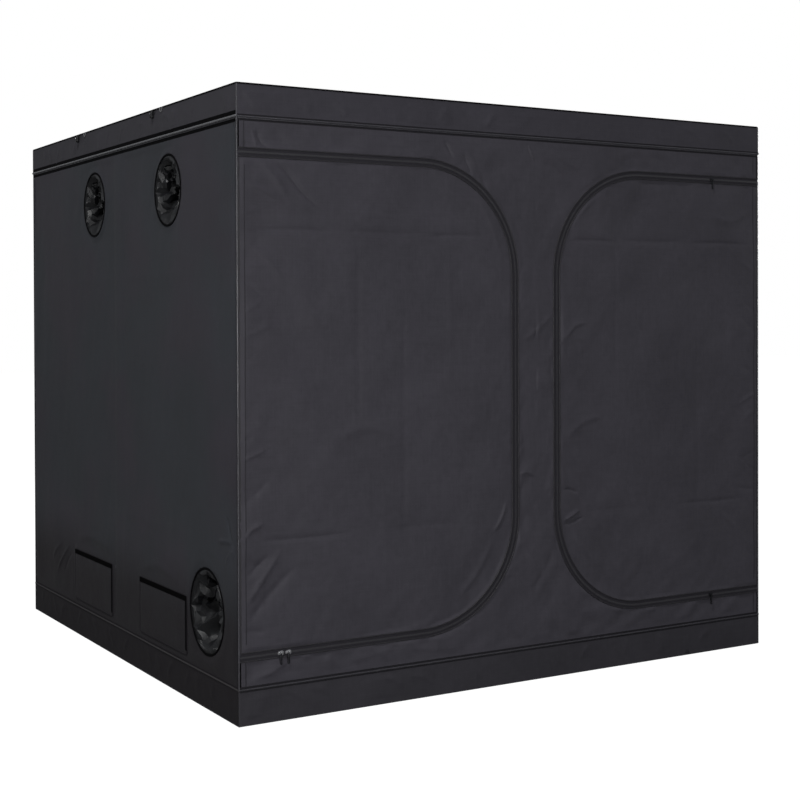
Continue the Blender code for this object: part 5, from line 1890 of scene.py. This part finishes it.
class TubeFrame:
    """The steel tubes, their tees, the corner connectors and the hanging bars."""

    def _tube(self, name: str, start: Sequence[float], end: Sequence[float], tee: Optional[Sequence[float]] = None,
              branches: Sequence[Sequence[float]] = ()) -> None:
        """Builds one tube, with its tee where it has one."""
        shape = Shape()
        shape.rod(start, end, POLE_RADIUS, POLE_RADIUS - 0.0008, 28)
        if tee is not None:
            way = (Vector(end) - Vector(start)).normalized()
            middle = Vector(tee)
            shape.rod(middle - way * 0.035, middle + way * 0.035, COLLAR_RADIUS, POLE_RADIUS, 28, 0.0008)
            for branch in branches:
                out = Vector(branch)
                shape.rod(middle + out * 0.006, middle + out * COLLAR_REACH, COLLAR_RADIUS - 0.0006, 0, 28, 0.0008)
                shape.rod(middle + out * 0.02, middle + out * (COLLAR_REACH + 0.05), 0.0113, 0, 24, 0.001)
        place_on(shape.done(name + "_tube", POLE), "tent", "white_tube", name)

    def build(self) -> None:
        """Builds every tube and connector."""
        foot, head = RAIL_LOW + 0.0353, RAIL_HIGH - 0.0353
        for name, x, y in (
            ("front_left_post", -RAIL, -RAIL), ("front_right_post", RAIL, -RAIL),
            ("back_left_post", -RAIL, RAIL), ("back_right_post", RAIL, RAIL),
            ("front_middle_post", STRIP_MIDDLE, -RAIL), ("back_middle_post", 0, RAIL),
            ("left_middle_post", -RAIL, 0), ("right_middle_post", RAIL, 0),
        ):
            self._tube(name, (x, y, foot), (x, y, head))
        reach = RAIL - 0.0353
        for word, z, way in (("bottom", RAIL_LOW, (0, 0, 1)), ("top", RAIL_HIGH, (0, 0, -1))):
            for side, y, middle in (("front", -RAIL, STRIP_MIDDLE), ("back", RAIL, 0.0)):
                self._tube(f"{word}_{side}_rail", (-reach, y, z), (reach, y, z), (middle, y, z), [way])
            for side, x, inward in (("left", -RAIL, (1, 0, 0)), ("right", RAIL, (-1, 0, 0))):
                ways = [way, inward] if word == "top" else [way]
                self._tube(f"{word}_{side}_rail", (x, -reach, z), (x, reach, z), (x, 0, z), ways)
        self._tube("roof_beam", (-reach, 0, RAIL_HIGH), (reach, 0, RAIL_HIGH))
        for word, z, way in (("bottom", RAIL_LOW, 1), ("top", RAIL_HIGH, -1)):
            for end, y in (("front", -RAIL), ("back", RAIL)):
                for side, x in (("left", -RAIL), ("right", RAIL)):
                    self._corner(f"{word}_{end}_{side}_connector", Vector((x, y, z)), way)
        for side in ("left", "right"):
            dress(frame["nodes"][f"{side}_hanging_bar"], POLE, 35)

    def _corner(self, name: str, middle: Vector, way: int) -> None:
        """Builds a three-way corner connector with collars, stubs and a rounded knuckle."""
        shape = Shape()
        ways = [Vector((-math.copysign(1, middle.x), 0, 0)), Vector((0, -math.copysign(1, middle.y), 0)),
                Vector((0, 0, way))]
        outline = arc((0, 0), COLLAR_RADIUS, -90, 90, 12)
        outline[0], outline[-1] = (0, -COLLAR_RADIUS), (0, COLLAR_RADIUS)
        shape.turned(outline, Matrix.Translation(middle), 28)
        for out in ways:
            shape.rod(middle, middle + out * COLLAR_REACH, COLLAR_RADIUS, 0, 28, 0.0008)
            shape.rod(middle + out * 0.02, middle + out * (COLLAR_REACH + 0.05), 0.0113, 0, 24, 0.001)
        place_on(shape.done(name + "_body", POLE), "tent", "white_tube", name)


# Studio

class Studio:
    """The camera, the lights, the pale floor and the white surroundings."""

    def camera(self) -> None:
        """Sets the camera where the photograph was taken from."""
        data = bpy.data.cameras.new("camera")
        focal, centre_x, centre_y = 1471.0, 443.0, 328.2
        data.sensor_width = 36
        data.lens = focal / 800 * 36
        data.shift_x = (400 - centre_x) / 800
        data.shift_y = (centre_y - 400) / 800
        data.clip_end = 100
        camera = bpy.data.objects.new("camera", data)
        turn = Matrix.Rotation(math.radians(-31.65), 4, "Z") @ Matrix.Rotation(math.radians(90 - 0.55), 4, "X")
        turn = turn @ Matrix.Rotation(math.radians(-0.18), 4, "Z")
        camera.matrix_world = Matrix.Translation((-3.231, -5.83, 1.409)) @ turn
        bpy.context.scene.collection.objects.link(camera)
        bpy.context.scene.camera = camera

    def light(self, name: str, place: Sequence[float], target: Sequence[float], size: Sequence[float], power: float) -> None:
        """Adds one soft lamp that looks at a place."""
        data = bpy.data.lights.new(name, "AREA")
        data.shape = "RECTANGLE"
        data.size, data.size_y = size
        data.energy = power
        lamp = bpy.data.objects.new(name, data)
        way = Vector(target) - Vector(place)
        lamp.visible_camera = False
        lamp.matrix_world = Matrix.Translation(place) @ way.to_track_quat("-Z", "Y").to_matrix().to_4x4()
        bpy.context.scene.collection.objects.link(lamp)

    def floor(self) -> None:
        """Adds the floor, white around the object and darker only in its shadow."""
        bm = bmesh.new()
        bmesh.ops.create_grid(bm, x_segments=2, y_segments=2, size=30)
        mesh = bpy.data.meshes.new("floor")
        bm.to_mesh(mesh)
        bm.free()
        floor = bpy.data.objects.new("studio_floor", mesh)
        floor.location.z = -0.0006
        bpy.context.scene.collection.objects.link(floor)
        material = bpy.data.materials.new("studio_floor")
        nodes = Nodes(material)
        nodes.shader.inputs["Roughness"].default_value = 0.9
        nodes.shader.inputs["Specular IOR Level"].default_value = 0.0
        seen = nodes.make("ShaderNodeLightPath", output="Is Camera Ray")
        nodes.drive(Base_Color=nodes.blend(seen, (0.16, 0.16, 0.16, 1), (0.7, 0.7, 0.7, 1)))
        glow = nodes.make("ShaderNodeEmission", {}, {"Color": (1, 1, 1, 1), "Strength": 1.15})
        share = seen * 0.88
        mix = nodes.make("ShaderNodeMixShader", {}, {0: share, 1: Socket(nodes, nodes.shader.outputs[0]), 2: glow})
        output = nodes.tree.nodes["Material Output"]
        nodes.tree.links.new(mix.output, output.inputs["Surface"])
        mesh.materials.append(material)
        floor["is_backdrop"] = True

    def world(self) -> None:
        """Sets plain soft light from all round, and white where the camera looks past the object."""
        world = bpy.data.worlds.new("studio")
        bpy.context.scene.world = world
        world.use_nodes = True
        tree = world.node_tree
        plain = tree.nodes["Background"]
        plain.inputs["Color"].default_value = (0.93, 0.96, 1.0, 1)
        plain.inputs["Strength"].default_value = 0.22
        white = tree.nodes.new("ShaderNodeBackground")
        white.inputs["Strength"].default_value = 1.0
        white.inputs["Color"].default_value = (1, 1, 1, 1)
        path = tree.nodes.new("ShaderNodeLightPath")
        mix = tree.nodes.new("ShaderNodeMixShader")
        tree.links.new(path.outputs["Is Camera Ray"], mix.inputs[0])
        tree.links.new(plain.outputs[0], mix.inputs[1])
        tree.links.new(white.outputs[0], mix.inputs[2])
        tree.links.new(mix.outputs[0], tree.nodes["World Output"].inputs["Surface"])

    def build(self) -> None:
        """Sets up the whole studio."""
        self.camera()
        self.light("key", (-1.9, -6.0, 1.2), (-0.2, -1.2, 0.9), (1.4, 1.0), 152)
        self.light("rake", (-3.6, -2.2, 2.2), (0.6, -1.2, 1.0), (0.5, 1.0), 12)
        self.light("high rake", (-5.0, -4.6, 10.5), (-0.4, -0.8, 1.1), (0.9, 0.9), 560)
        self.light("side", (-7.5, 2.8, 1.8), (-1.2, 0.0, 0.8), (1.6, 1.2), 48)
        self.light("back", (2.2, 6.0, 2.4), (0.0, 1.2, 1.0), (1.4, 1.0), 170)
        self.light("right rake", (4.6, -2.7, 2.3), (0.4, -1.2, 1.0), (0.6, 0.8), 10)
        self.light("right", (6.0, 1.4, 2.4), (1.2, 0.0, 1.0), (1.4, 1.0), 80)
        self.light("top", (0.0, 0.0, 6.0), (0.0, 0.0, 2.2), (2.4, 2.4), 24)
        self.floor()
        self.world()
        bpy.context.scene.view_settings.view_transform = "Standard"


def main() -> None:
    """Builds the looks of the whole tent and its studio."""
    Studio().build()
    FrontWall().build()
    for door in (Door(LEFT_DOOR, 201), Door(RIGHT_DOOR, 231)):
        door.build()
    for plan in SLIDERS:
        Slider(plan).build()
    SideWall(Facing.LEFT, LEFT_PORTS, 301).build()
    SideWall(Facing.RIGHT, RIGHT_PORTS, 331).build()
    BackWall().build()
    Roof().build()
    Floor().build()
    Corners().build()
    for end, depth in (("front", -0.414), ("back", 0.50)):
        CordLock(end, depth).build()
    TubeFrame().build()
    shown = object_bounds()
    boxes = {"cad": CAD_BOX, "visual": shown}
    plain = {name: [[float(x) for x in corner] for corner in pair] for name, pair in boxes.items()}
    LOG.info("boxes: %s", plain)


if __name__ == "__main__":
    main()
